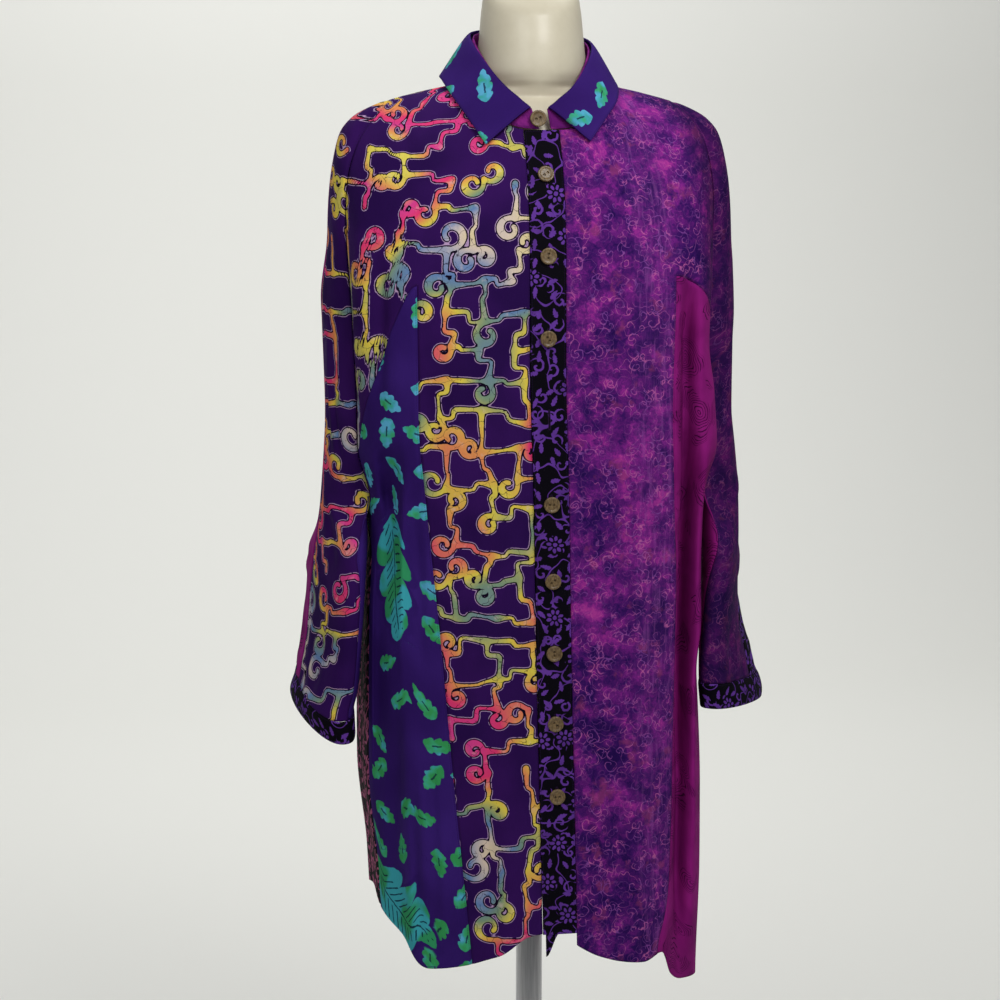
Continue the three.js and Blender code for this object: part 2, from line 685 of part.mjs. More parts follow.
// ---------------------------------------------------------------- collar and stand
// Neckline points from the right front round the back to the left front.
function necklinePoint(t) {
  const turn = mix(-1, 1, t) * Math.PI;
  const side = turn < 0 ? SIDES.right : SIDES.left;
  const behind = Math.abs(turn) < Math.PI / 2;
  const x = Math.abs(Math.sin(turn)) * STAND_REACH;
  const z = (behind ? backNeckline : frontNeckline)(x);
  return bodyPoint(side, bodyAngle(side, x, z, behind), z);
}

const FOLD_LINE = [
  // x, y, z of the collar's turn, from the right front end round the back
  [-14, -90, 1384], [-36, -72, 1404], [-54, -40, 1432], [-61, -2, 1454], [-50, 40, 1463], [-25, 58, 1466],
  [4, 62, 1466], [30, 56, 1464], [52, 38, 1459], [60, -2, 1449], [50, -40, 1429], [28, -72, 1402],
  [3, -90, 1384],
];
const COLLAR_EDGE = [
  // x, z, lift off the front cloth; in front of the shoulders
  [-59, 1349, 7], [-74, 1376, 7], [-86, 1398, 8],
];
const COLLAR_EDGE_LEFT = [
  // x, z, lift off the front cloth; in front of the shoulders
  [79, 1392, 8], [63, 1374, 7], [44, 1352, 7],
];
const COLLAR_BACK_EDGE = [
  // x, y, z over the shoulders and behind
  [-93, -4, 1416], [-82, 46, 1414], [-48, 74, 1411], [0, 84, 1410], [48, 74, 1411], [80, 46, 1411],
  [87, -4, 1410],
];

const vector = (row) => new THREE.Vector3(row[0], row[1], row[2]);
const curve = (points) => new THREE.CatmullRomCurve3(points, false, 'centripetal');

function liftedPoint([x, z, lift]) {
  const side = x < 0 ? SIDES.right : SIDES.left;
  const point = bodyPoint(side, bodyAngle(side, Math.abs(x), z), z);
  return point.add(new THREE.Vector3(0, -lift, 0));
}

function collarColumns(count, rowCount) {
  const turn = curve(FOLD_LINE.map(vector));
  const edge = curve([
    ...COLLAR_EDGE.map(liftedPoint), ...COLLAR_BACK_EDGE.map(vector), ...COLLAR_EDGE_LEFT.map(liftedPoint),
  ]);
  const columns = [];
  for (let i = 0; i <= count; i += 1) {
    const from = turn.getPoint(i / count);
    const to = edge.getPoint(i / count);
    const column = [];
    for (let row = 0; row <= rowCount; row += 1) {
      const t = row / rowCount;
      const point = from.clone().lerp(to, t);
      point.z += 5 * Math.sin(Math.PI * Math.sqrt(t)) * (i > 0 && i < count ? 1 : 0.3);
      column.push(point);
    }
    columns.push(column);
  }
  return columns;
}

// The stand rises from the neckline to just inside the collar's turn. Its right end laps over its left.
function standColumns(count) {
  const turn = curve(FOLD_LINE.map(vector));
  const columns = [];
  for (let i = 0; i <= count; i += 1) {
    const t = i / count;
    const foot = necklinePoint(mix(0.012, 0.988, t));
    const top = turn.getPoint(t);
    const inwards = new THREE.Vector3(-top.x, -top.y, 0).normalize();
    top.addScaledVector(inwards, COLLAR_WALL + LAYER_GAP).setZ(top.z - 1.5);
    foot.z += STAND_LIFT;
    columns.push([foot, foot.clone().lerp(top, 0.5), top]);
  }
  return columns;
}

function neckPieces() {
  return [
    new Panel('collar_stand', standColumns(28), COLOURS.stand, { wall: STAND_WALL, axis: () => BODY_AXIS }),
    new Panel('collar', collarColumns(28, 3), COLOURS.leaf, { wall: COLLAR_WALL, trim: 0 }),
  ];
}

// ---------------------------------------------------------------- buttons
function buttonGeometry() {
  const outline = new THREE.Shape().absarc(0, 0, BUTTON_RADIUS, 0, Math.PI * 2);
  for (const x of [-BUTTON_HOLE_OFFSET, BUTTON_HOLE_OFFSET]) {
    outline.holes.push(new THREE.Path().absarc(x, 0, BUTTON_HOLE_RADIUS, 0, Math.PI * 2, true));
  }
  const options = { depth: BUTTON_THICKNESS, bevelEnabled: false, curveSegments: 9 };
  return new THREE.ExtrudeGeometry(outline, options);
}

// A button flat on the cloth at a point, with its face along the cloth's normal.
function button(name, point, normal, turn) {
  const mesh = new THREE.Mesh(buttonGeometry(), finish(COLOURS.button, 0.5));
  mesh.name = name;
  mesh.quaternion.setFromUnitVectors(new THREE.Vector3(0, 0, 1), normal);
  mesh.quaternion.multiply(new THREE.Quaternion().setFromAxisAngle(new THREE.Vector3(0, 0, 1), turn));
  mesh.position.copy(point);
  return mesh;
}

function frontNormal(x, z) {
  const side = x < 0 ? SIDES.right : SIDES.left;
  const at = (dx, dz) => bodyPoint(side, bodyAngle(side, Math.abs(x + dx), z + dz), z + dz);
  const across = at(side.sign, 0).sub(at(0, 0)).multiplyScalar(side.sign);
  return across.cross(at(0, 4).sub(at(0, -4))).normalize();
}

function buttons() {
  const list = BUTTONS_ON_PLACKET.map((z, index) => {
    const x = placketCentre(z);
    const side = x < 0 ? SIDES.right : SIDES.left;
    const normal = frontNormal(x, z);
    const point = bodyPoint(side, bodyAngle(side, Math.abs(x), z), z);
    point.addScaledVector(normal, PLACKET_RISE + LAYER_GAP + 0.1);
    return button(`button_${index + 1}`, point, normal, radians(35 + 47 * index));
  });
  const normal = new THREE.Vector3(0, -1, 0.08).normalize();
  const stand = new THREE.Vector3(STAND_BUTTON.x, STAND_BUTTON.y, STAND_BUTTON.z);
  list.push(button('button_stand', stand, normal, radians(STAND_BUTTON.tilt)));
  return list;
}

// ---------------------------------------------------------------- dress form
const FORM = [
  // z, half-width, front depth, back depth, roundness, tilt of the ring
  [FORM_BOTTOM_Z, 130, 84, 84, 2, 0], [812, 142, 96, 94, 2, 0], [870, 150, 102, 98, 2, 0],
  [960, 138, 94, 82, 2, 0], [1080, 120, 86, 72, 2, 0], [1150, 132, 104, 80, 2, 0], [1210, 144, 112, 86, 2, 0],
  [1280, 152, 104, 88, 2, 0], [1330, 164, 88, 74, 1.8, 0],
];
const FORM_NECK = [
  // z, half-width, front depth, back depth, roundness, tilt of the ring
  [1405, 64, 57, 30, 1.5, 0], [1412, 57, 60, 33, 1.8, 0], [1422, 56, 61, 35, 2, 0],
  [1450, 53, 59, 39, 2, 0.1], [1482, 50, 55, 40, 2, 0.35],
  [1498, 47, 53, 40, 2, 0.5], [1505, 42, 48, 36, 2, 0.5], [1511, 27, 31, 24, 2, 0.45],
];
const FORM_SHOULDERS = [
  // z, front depth
  [1356, 84], [1366, 80], [1374, 75], [1382, 69], [1389, 61], [1393, 56], [1396, 54],
];
const FORM_SHOULDER_END = 182;
const FORM_SHOULDER = { backDepth: 32, roundness: 1.2 };

// The shoulders of the form carry the cloth: each ring ends just under the shoulder line.
function formShoulderRings() {
  const { backDepth: back, roundness: power } = FORM_SHOULDER;
  return FORM_SHOULDERS.map(([z, front]) => {
    const reach = shoulderReach(z + CLOTH_WALL + LAYER_GAP) - 0.9;
    return [z, Math.min(reach, FORM_SHOULDER_END), front, back, power, 0];
  });
}

function lofted(name, rings, colour, roughness, metalness = 0) {
  const count = rings[0].length;
  const middle = (ring) => ring.reduce((sum, p) => sum.add(p), new THREE.Vector3()).multiplyScalar(1 / count);
  const points = [...rings.flat(), middle(rings[0]), middle(rings[rings.length - 1])];
  const faces = [];
  for (let r = 0; r < rings.length - 1; r += 1) {
    for (let i = 0; i < count; i += 1) {
      const a = r * count + i;
      const b = r * count + ((i + 1) % count);
      faces.push(a, b, b + count, a, b + count, a + count);
    }
  }
  const last = (rings.length - 1) * count;
  for (let i = 0; i < count; i += 1) {
    const next = (i + 1) % count;
    faces.push(points.length - 2, next, i);
    faces.push(points.length - 1, last + i, last + next);
  }
  const mesh = solid(name, points.flatMap((p) => [p.x, p.y, p.z]), faces, colour);
  mesh.material = finish(colour, roughness, metalness);
  return mesh;
}

function dressForm() {
  const rings = [...FORM, ...formShoulderRings(), ...FORM_NECK].map((row) => {
    const [z, halfWidth, front, back, power, tilt] = row;
    const ring = [];
    for (let i = 0; i < FORM_SIDES; i += 1) {
      const angle = (i * Math.PI * 2) / FORM_SIDES;
      const x = halfWidth * Math.sign(Math.cos(angle)) * Math.abs(Math.cos(angle)) ** (2 / power);
      const depth = Math.sin(angle) < 0 ? front : back;
      const y = depth * Math.sign(Math.sin(angle)) * Math.abs(Math.sin(angle)) ** (2 / power);
      ring.push(new THREE.Vector3(x, y, z + tilt * y));
    }
    return ring;
  });
  return lofted('form_body', rings, COLOURS.form, 0.35);
}

function turned(name, profile, sides, colour) {
  const geometry = new THREE.LatheGeometry(profile.map(([r, z]) => new THREE.Vector2(r, z)), sides);
  geometry.rotateX(Math.PI / 2);
  const mesh = new THREE.Mesh(geometry, finish(colour, 0.3, 0.9));
  mesh.name = name;
  return mesh;
}

function stand() {
  const foot = BASE_THICKNESS + LAYER_GAP;
  const poleTop = FORM_BOTTOM_Z - LAYER_GAP;
  const edge = 3;
  const base = [[0, 0], [BASE_RADIUS, 0], [BASE_RADIUS, BASE_THICKNESS - edge],
    [BASE_RADIUS - edge, BASE_THICKNESS], [0, BASE_THICKNESS]];
  const pole = [[0, foot], [POLE_RADIUS + 12, foot], [POLE_RADIUS + 12, foot + 6], [POLE_RADIUS, foot + 22],
    [POLE_RADIUS, poleTop], [0, poleTop]];
  return [
    turned('base', base, BASE_SIDES, COLOURS.metal),
    turned('pole', pole, POLE_SIDES, COLOURS.metal),
  ];
}

// ---------------------------------------------------------------- assembly
const RIGHT_PRINTS = { front: COLOURS.lattice, side: COLOURS.leaf, sleeveBack: COLOURS.contour };
const LEFT_PRINTS = { front: COLOURS.scroll, side: COLOURS.contour, sleeveBack: COLOURS.blackFloral };

const cloth = [
  ...sidePanels('right', RIGHT_PRINTS), ...sidePanels('left', LEFT_PRINTS), backPanel(),
  ...placketPanels(), ...neckPieces(),
];
for (const panel of cloth) panel.findNormals();
shareNormals(cloth);

const group = new THREE.Group();
group.name = 'batik_shirt_dress_on_form';
for (const panel of cloth) group.add(panel.mesh());
for (const mesh of [...buttons(), dressForm(), ...stand()]) group.add(mesh);

export default group;
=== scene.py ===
"""Looks of a batik shirt dress on its dress form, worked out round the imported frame."""

import logging
import math
from dataclasses import dataclass, field
from enum import Enum
from typing import Callable, Sequence

import bpy
import numpy as np
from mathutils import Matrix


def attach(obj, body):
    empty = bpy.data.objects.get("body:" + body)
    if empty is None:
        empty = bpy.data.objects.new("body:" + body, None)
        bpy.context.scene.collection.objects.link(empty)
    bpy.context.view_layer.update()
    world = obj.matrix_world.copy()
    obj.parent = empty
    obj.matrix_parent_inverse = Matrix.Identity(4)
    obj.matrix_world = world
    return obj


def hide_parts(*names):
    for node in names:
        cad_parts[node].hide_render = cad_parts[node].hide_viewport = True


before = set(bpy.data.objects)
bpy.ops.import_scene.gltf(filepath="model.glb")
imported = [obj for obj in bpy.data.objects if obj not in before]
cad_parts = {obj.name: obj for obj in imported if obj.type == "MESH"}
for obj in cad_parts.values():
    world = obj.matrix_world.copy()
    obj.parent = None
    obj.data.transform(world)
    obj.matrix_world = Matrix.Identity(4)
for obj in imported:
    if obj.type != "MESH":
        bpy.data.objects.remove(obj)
log = logging.getLogger("shirt_dress")

MM = 0.001
TURN = 2.0 * math.pi
Array = np.ndarray
Line = Callable[[Array], Array]

# ---------------------------------------------------------------- sizes in millimetres
CLOTH_WALL = 1.4
APEX_Z = 1214.0
UNDERARM_Z = 1000.0
FRONT_FALL = 220.0
BACK_FALL = 150.0
PLACKET_HALF_WIDTH = 17.5
UNDER_PLACKET_HALF_WIDTH = 14.0
UNDER_PLACKET_DROP = 24.0
NECK_REACH = 78.0
STAND_REACH = 77.0
SIDE_SEAM = 97.0  # degrees from the centre front above the underarm
SEAM_SWING = 21.0  # degrees that the side seam swings forward below the underarm
VALLEY_SWING = 7.0  # degrees that the front valley swings with it
SWING_FALL = 60.0
SLEEVE_SEAM = 70.0  # degrees from the sleeve's outer edge to its lower seams
SLEEVE_JOIN = 70.0  # the sleeve's tube takes over from the body's cloth over this height
SLEEVE_TURN_FALL = 120.0  # the sleeve's seams turn over this height
SLEEVE_SHOULDER_FALL = 110.0
SLEEVE_TOP_X = 199.0
OUTER_EDGE_CHEST_Z = 1150.0
LAYER_GAP = 0.35
TOP_CALM = 40.0  # creases start this far below the shoulder
SEARCH_TOP_Z = 1380.0  # first guesses of the heights that are found step by step
SEARCH_HEM_Z = 530.0
FLANK_FLAT_X = 170.0  # where the back halves of the sleeves start on the flat cloth
UNDER_FLAT_X = 600.0  # and where the undersides start
LATTICE_SEED = 23
LATTICE_AREA = (360.0, 470.0, 1480.0)  # width, lowest and greatest height of the flat cloth it covers
STITCH_STEP = 2.4
BUTTONHOLE_HALF = 9.0

DEPTH = (
    (1440, 100, 96, 2.6), (1363, 116, 104, 3.0), (1290, 128, 108, 3.6), (1180, 131, 106, 4.0),
    (1060, 127, 98, 3.8), (940, 123, 100, 3.4), (800, 122, 112, 3.2), (640, 124, 122, 3.0),
    (470, 128, 128, 3.0),
)
SHOULDER_LINE = (
    (0, 1444), (40, 1432), (60, 1421), (75, 1411), (112, 1402), (152, 1391), (181, 1376), (193, 1361),
    (199, 1340), (204, 1309), (207.5, 1264), (210, 1200),
)
NECKLINE = (
    (0, 1362, 1423), (20, 1363, 1422.5), (42, 1371, 1420), (60, 1387, 1416), (72, 1404, 1411),
    (78, 1411, 1411),
)
SLEEVE_START = ((1395, 0.78), (1376, 0.86), (1350, 0.93), (1320, 0.965), (1290, 0.975))
PLACKET_CENTRE = (
    (1400, -4), (1320, -3), (1160, -3), (1000, 2), (780, 7), (700, 9), (560, 12), (480, 13),
)
RIGHT_WIDTH = (
    (1440, 184), (1376, 188), (1340, 193), (1309, 195), (1222, 191), (1170, 188), (1102, 185),
    (1050, 184), (1000, 172), (960, 170), (880, 174), (712, 177), (604, 167), (480, 163),
)
LEFT_WIDTH = (
    (1440, 178), (1376, 186), (1324, 184), (1245, 179), (1156, 175), (1090, 180), (1050, 183),
    (1000, 174), (960, 171), (868, 169), (760, 171), (605, 173), (483, 170),
)
RIGHT_SEAM = ((1214, 129), (1084, 127.5), (1005, 121), (865, 107), (701, 93), (532, 78), (470, 74))
LEFT_SEAM = (
    (1222, 126), (1098, 124), (997, 129), (895, 136), (686, 136), (600, 131), (530, 117), (470, 114),
)
RIGHT_HEM = (
    (0, 560), (8, 558), (22, 538), (34, 529), (47, 524), (55, 536), (61, 550), (74, 567), (90, 575),
    (110, 562), (135, 536), (160, 520), (180, 516),
)
LEFT_HEM = (
    (0, 560), (6, 560), (14, 545), (24, 532), (41, 521), (48, 528), (54, 500), (60, 488), (77, 482),
    (90, 484), (110, 492), (135, 504), (160, 513), (180, 516),
)
RIGHT_PANEL_TOP = ((0, 1214), (0.25, 1176), (0.5, 1128), (0.75, 1085), (1, 1048))
LEFT_PANEL_TOP = ((0, 1222), (0.25, 1214), (0.5, 1203), (0.75, 1188), (1, 1166))
RIGHT_SLEEVE = (
    (1376, 172, 0, 13, 12, 4), (1340, 176, 0, 20, 42, 6), (1309, 178, 0, 23, 58, 8),
    (1250, 183, 2, 24, 70, 9), (1194, 190, 4, 24, 76, 10), (1093, 189, 6, 23, 80, 12),
    (990, 197, 6, 21, 78, 12), (865, 206, 2, 21, 74, 13), (800, 214, 0, 24, 72, 14),
    (780, 219, 0, 25, 72, 14), (740, 216, 0, 23, 70, 14),
)
LEFT_SLEEVE = (
    (1376, 168, 0, 13, 12, 4), (1340, 170, 0, 22, 42, 6), (1309, 175, 0, 25, 58, 8),
    (1250, 181, 2, 26, 70, 10), (1194, 184, 4, 26, 76, 10), (1093, 187, 6, 24, 80, 9),
    (990, 199, 4, 22, 76, 8), (920, 202, 2, 21, 75, 12), (865, 204, 2, 20, 75, 18),
    (800, 212, 0, 22, 74, 28), (764, 219, 0, 23, 74, 32), (740, 219, 0, 23, 74, 32),
)
RIGHT_FOLDS = (
    (52, 50, 900, 500, 5, 6), (66, 60, 860, 520, -5, 7), (30, 27, 760, 500, -4, 6),
    (16, 18, 720, 500, 3, 6), (104, 108, 960, 500, 6, 9), (128, 132, 1080, 500, -6, 9),
    (152, 158, 1200, 500, 5, 10),
)
LEFT_FOLDS = (
    (14, 30, 780, 600, 3.5, 6), (26, 34, 760, 500, -4, 6), (60, 57, 900, 480, -5, 6),
    (74, 72, 860, 480, 5, 7), (100, 104, 1000, 480, -5, 8), (122, 126, 1060, 480, 6, 9),
    (150, 150, 1180, 480, -6, 10), (176, 178, 1120, 480, 4, 9),
)

# Creases laid on one by one: from (across, height) to (across, height), rise, half-width, bend.
RIGHT_FRONT_CREASES = (
    (78, 866, 71, 597, 1.8, 9, 3), (60, 760, 52, 585, -1.8, 8, -3), (100, 1190, 92, 1010, 1.4, 11, 4),
    (40, 1330, 70, 1225, 1.2, 9, 3), (150, 1335, 112, 1240, -1.6, 9, 2), (128, 1375, 96, 1300, 1.3, 8, -3),
    (178, 1300, 186, 1090, 5.0, 9, 2), (164, 1250, 168, 1080, -5.0, 7, 2), (140, 1063, 144, 800, 4.6, 5, 2),
    (128, 740, 124, 590, 3.4, 4, 1), (116, 760, 110, 580, -3.0, 4, -1), (150, 800, 154, 600, -4.5, 6, 1),
    (104, 690, 98, 550, 2.4, 5, 0), (132, 1000, 126, 820, -2.6, 6, 2),
    (128, 1120, 134, 1010, 2.4, 6, 2), (138, 620, 134, 540, 2.4, 5, 0),
    (34, 1120, 40, 960, 1.0, 9, 2), (88, 1005, 70, 900, -1.2, 9, 3), (30, 700, 38, 580, -1.2, 6, 1),
)
LEFT_FRONT_CREASES = (
    (174, 1150, 184, 1000, 5.0, 9, 2), (182, 1010, 152, 800, 4.4, 9, -3), (24, 781, 94, 695, -3.2, 5, 3),
    (42, 760, 111, 620, 3.0, 6, -3), (32, 698, 80, 585, -2.9, 5, 3), (60, 720, 120, 560, 2.8, 6, 4),
    (25, 640, 62, 556, 2.0, 5, 1), (22, 820, 80, 760, 1.8, 5, 3), (112, 1190, 118, 900, -2.0, 8, 3),
    (70, 1150, 76, 930, 1.2, 12, -4), (44, 1330, 84, 1235, 1.4, 9, -4), (140, 1340, 108, 1255, -1.6, 9, 3),
    (127, 640, 124, 520, 2.0, 5, 1), (160, 700, 158, 500, 2.4, 7, 1), (96, 900, 102, 780, 1.2, 7, 2),
)
# Folds pressed straight in from the front, laid out in the same way.
RIGHT_HOLLOWS = (
    (150, 1070, 158, 900, 15.0, 8, 2), (161, 1060, 150, 985, 12.0, 7, -3), (143, 1050, 150, 830, -6.0, 6, 3),
    (163, 940, 166, 700, 8.0, 6, 1), (134, 700, 128, 540, 6.0, 6, 1), (112, 680, 104, 540, -4.0, 6, 0),
)
LEFT_HOLLOWS = (
    (142, 1235, 147, 985, 30.0, 8, 2), (147, 1070, 147, 700, 44.0, 8, 0), (147, 790, 144, 520, 24.0, 7, 0),
    (166, 1080, 160, 800, -10.0, 7, 2), (160, 840, 160, 620, -7.0, 6, 1),
)
BACK_CREASES = (
    (36, 1350, 60, 1150, 1.8, 12, 6), (118, 1310, 96, 1010, 2.4, 13, 6), (70, 1010, 86, 600, -2.6, 11, 4),
    (122, 930, 132, 560, 3.0, 11, -3), (16, 1120, 12, 640, 2.0, 13, 2), (140, 1240, 128, 1060, -2.6, 9, 2),
    (44, 930, 50, 560, 1.8, 8, 2), (100, 800, 108, 540, -2.2, 7, 2), (60, 1290, 100, 1210, -1.4, 9, 4),
)
SLEEVE_CREASES = (
    (12, 1012, 62, 958, 2.0, 6, 3), (22, 988, 68, 926, -2.0, 6, 3), (8, 936, 52, 902, 1.7, 6, 2),
    (40, 1190, 46, 1030, 1.8, 9, 3), (30, 884, 24, 800, 1.5, 7, 2), (56, 870, 62, 800, -1.8, 6, 1),
    (20, 1120, 34, 1040, -1.6, 8, 2), (60, 1150, 54, 1020, -1.7, 7, 2), (44, 860, 40, 806, 1.4, 5, 1),
    (14, 1260, 30, 1150, 1.2, 9, 2), (10, 830, 12, 792, 1.2, 4, 0), (24, 822, 26, 790, -1.1, 4, 0),
    (38, 826, 38, 790, 1.1, 4, 0), (52, 820, 50, 790, -1.0, 4, 0), (64, 828, 66, 790, 1.0, 4, 0),
)

# Big veined leaves on the right side panel: foot and tip as (across, height), and half-width.
BIG_LEAVES = (
    ((152, 984), (146, 866), 27.0),
    ((168, 626), (112, 545), 34.0),
)

FOLD_LINE = (
    (-14, -90, 1384), (-36, -72, 1404), (-54, -40, 1432), (-61, -2, 1454), (-50, 40, 1463),
    (-25, 58, 1466), (4, 62, 1466), (30, 56, 1464), (52, 38, 1459), (60, -2, 1449), (50, -40, 1429),
    (28, -72, 1402), (3, -90, 1384),
)
COLLAR_EDGE_RIGHT = ((-59, 1349, 7), (-74, 1376, 7), (-86, 1398, 8))
COLLAR_EDGE_LEFT = ((79, 1392, 8), (63, 1374, 7), (44, 1352, 7))
COLLAR_BACK_EDGE = (
    (-93, -4, 1416), (-82, 46, 1414), (-48, 74, 1411), (0, 84, 1410), (48, 74, 1411), (80, 46, 1411),
    (87, -4, 1410),
)
BUTTON_HEIGHTS = (1319, 1242, 1163, 1000, 923, 850, 778, 703)
EMPTY_BUTTONHOLE_Z = 1084.0
STAND_BUTTON = (-7.0, -90.0, 1373.0)

FORM_RINGS = (
    (800, 130, 84, 84, 2, 0), (812, 142, 96, 94, 2, 0), (870, 150, 102, 98, 2, 0), (960, 138, 94, 82, 2, 0),
    (1080, 120, 86, 72, 2, 0), (1150, 132, 104, 80, 2, 0), (1210, 144, 112, 86, 2, 0),
    (1280, 152, 104, 88, 2, 0), (1330, 164, 88, 74, 1.8, 0),
)
FORM_NECK = (
    (1405, 64, 57, 30, 1.5, 0), (1412, 57, 60, 33, 1.8, 0), (1422, 56, 61, 35, 2, 0),
    (1450, 53, 59, 39, 2, 0.1), (1482, 50, 55, 40, 2, 0.35), (1498, 47, 53, 40, 2, 0.5),
    (1505, 42, 48, 36, 2, 0.5), (1511, 27, 31, 24, 2, 0.45),
)
FORM_SHOULDERS = ((1356, 84), (1366, 80), (1374, 75), (1382, 69), (1389, 61), (1393, 56), (1396, 54))
FORM_SHOULDER_END = 182.0


# ---------------------------------------------------------------- small helpers
def mix(a: Array, b: Array, t: Array) -> Array:
    """a + (b - a) t."""
    return a + (b - a) * t


def smooth(value: Array) -> Array:
    """3t^2 - 2t^3 of the value held between 0 and 1."""
    t = np.clip(value, 0.0, 1.0)
    return t * t * (3.0 - 2.0 * t)


def unit(vectors: Array) -> Array:
    """Vectors of length one."""
    return vectors / np.maximum(np.linalg.norm(vectors, axis=-1, keepdims=True), 1e-9)


def linked(name: str, data: bpy.types.ID) -> bpy.types.Object:
    """Object of some data, in the scene.

    Args:
        name: the object's name.
        data: mesh, light or camera.

    Returns:
        The object.
    """
    made = bpy.data.objects.new(name, data)
    bpy.context.scene.collection.objects.link(made)
    return made


def smooth_mesh(name: str, points: Array, faces: Sequence[Sequence[int]]) -> bpy.types.Mesh:
    """Mesh of points in millimetres, shaded smooth.

    Args:
        name: the mesh's name.
        points: its points.
        faces: corners of its faces.

    Returns:
        The mesh.
    """
    mesh = bpy.data.meshes.new(name)
    mesh.from_pydata((points * MM).tolist(), [], faces)
    mesh.polygons.foreach_set("use_smooth", np.ones(len(mesh.polygons), dtype=bool))
    return mesh


def set_in_frame(made: bpy.types.Object, node: str, material: bpy.types.Material) -> None:
    """Gives a piece its material, hangs it on the root body and hides the imported part of its node.

    Args:
        made: the piece.
        node: the node that it stands for.
        material: its finish.
    """
    made.data.materials.append(material)
    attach(made, "root")
    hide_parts(node)


class Curve:
    """Smooth curve through the rows of a table: a monotone cubic, read at many keys at once."""

    def __init__(self, rows: Sequence[Sequence[float]], column: int = 1) -> None:
        """Args:
        rows: table rows, the key first.
        column: the column that is read.
        """
        table = np.array(sorted([(row[0], row[column]) for row in rows]), dtype=float)
        self.keys = table[:, 0]
        self.values = table[:, 1]
        secants = np.diff(self.values) / np.diff(self.keys)
        product = secants[:-1] * secants[1:]
        total = np.where(np.abs(secants[:-1] + secants[1:]) < 1e-12, 1.0, secants[:-1] + secants[1:])
        self.slopes = np.zeros(len(self.keys))
        self.slopes[1:-1] = np.where(product > 0, 2.0 * product / total, 0.0)

    def __call__(self, key: Array) -> Array:
        """Value at each key: v + t(a + t(3r - 2a - b + t(a + b - 2r))) within its interval.

        Args:
            key: where the curve is read.

        Returns:
            Its values there.
        """
        held = np.clip(key, self.keys[0], self.keys[-1])
        i = np.clip(np.searchsorted(self.keys, held, side="right") - 1, 0, len(self.keys) - 2)
        step = self.keys[i + 1] - self.keys[i]
        t = (held - self.keys[i]) / step
        rise = self.values[i + 1] - self.values[i]
        a = self.slopes[i] * step
        b = self.slopes[i + 1] * step
        return self.values[i] + t * (a + t * (3 * rise - 2 * a - b + t * (a + b - 2 * rise)))


@dataclass(frozen=True)
class Side:
    """One half of the dress: its sizes over height. The wearer's right lies towards -X."""

    name: str
    sign: int
    width: Curve
    seam: Curve
    hem: Curve
    panel_top: Curve
    sleeve: tuple[Curve, ...]
    folds: tuple[tuple[float, ...], ...]
    creases: tuple[tuple[float, ...], ...]
    hollows: tuple[tuple[float, ...], ...]
    cuff_foot: float
    cuff_slant: float
    cuff_height: float


def sleeve_curves(rows: Sequence[Sequence[float]]) -> tuple[Curve, ...]:
    """Curves of a sleeve's middle x and y, half-thickness, half-depth and toe-in."""
    return tuple(Curve(rows, column) for column in range(1, 6))


RIGHT = Side(
    "right", -1, Curve(RIGHT_WIDTH), Curve(RIGHT_SEAM), Curve(RIGHT_HEM), Curve(RIGHT_PANEL_TOP),
    sleeve_curves(RIGHT_SLEEVE), RIGHT_FOLDS, RIGHT_FRONT_CREASES, RIGHT_HOLLOWS, 768.0, 19.0, 24.0,
)
LEFT = Side(
    "left", 1, Curve(LEFT_WIDTH), Curve(LEFT_SEAM), Curve(LEFT_HEM), Curve(LEFT_PANEL_TOP),
    sleeve_curves(LEFT_SLEEVE), LEFT_FOLDS, LEFT_FRONT_CREASES, LEFT_HOLLOWS, 764.0, -8.0, 27.0,
)


def ridges(table: Sequence[Sequence[float]], across: Array, height: Array) -> Array:
    """Rise of the listed creases, in millimetres.

    Each crease is a bent line: its rise is amount x exp(-(distance / half-width)^2), and it
    fades over the first and last third of its length.

    Args:
        table: rows of from (across, height), to (across, height), rise, half-width and bend.
        across: distance across the cloth of each point.
        height: height of each point.

    Returns:
        The rise at each point.
    """
    total = np.zeros(np.broadcast(across, height).shape)
    for a0, h0, a1, h1, amount, half_width, bend in table:
        length = math.hypot(a1 - a0, h1 - h0)
        ca, ch = (a1 - a0) / length, (h1 - h0) / length
        t = ((across - a0) * ca + (height - h0) * ch) / length
        held = np.clip(t, 0.0, 1.0)
        off = (across - a0) * ch - (height - h0) * ca - bend * 4.0 * held * (1.0 - held)
        fade = smooth((t + 0.04) / 0.34) * smooth((1.04 - t) / 0.34)
        total = total + amount * np.exp(-((off / half_width) ** 2)) * fade
    return total


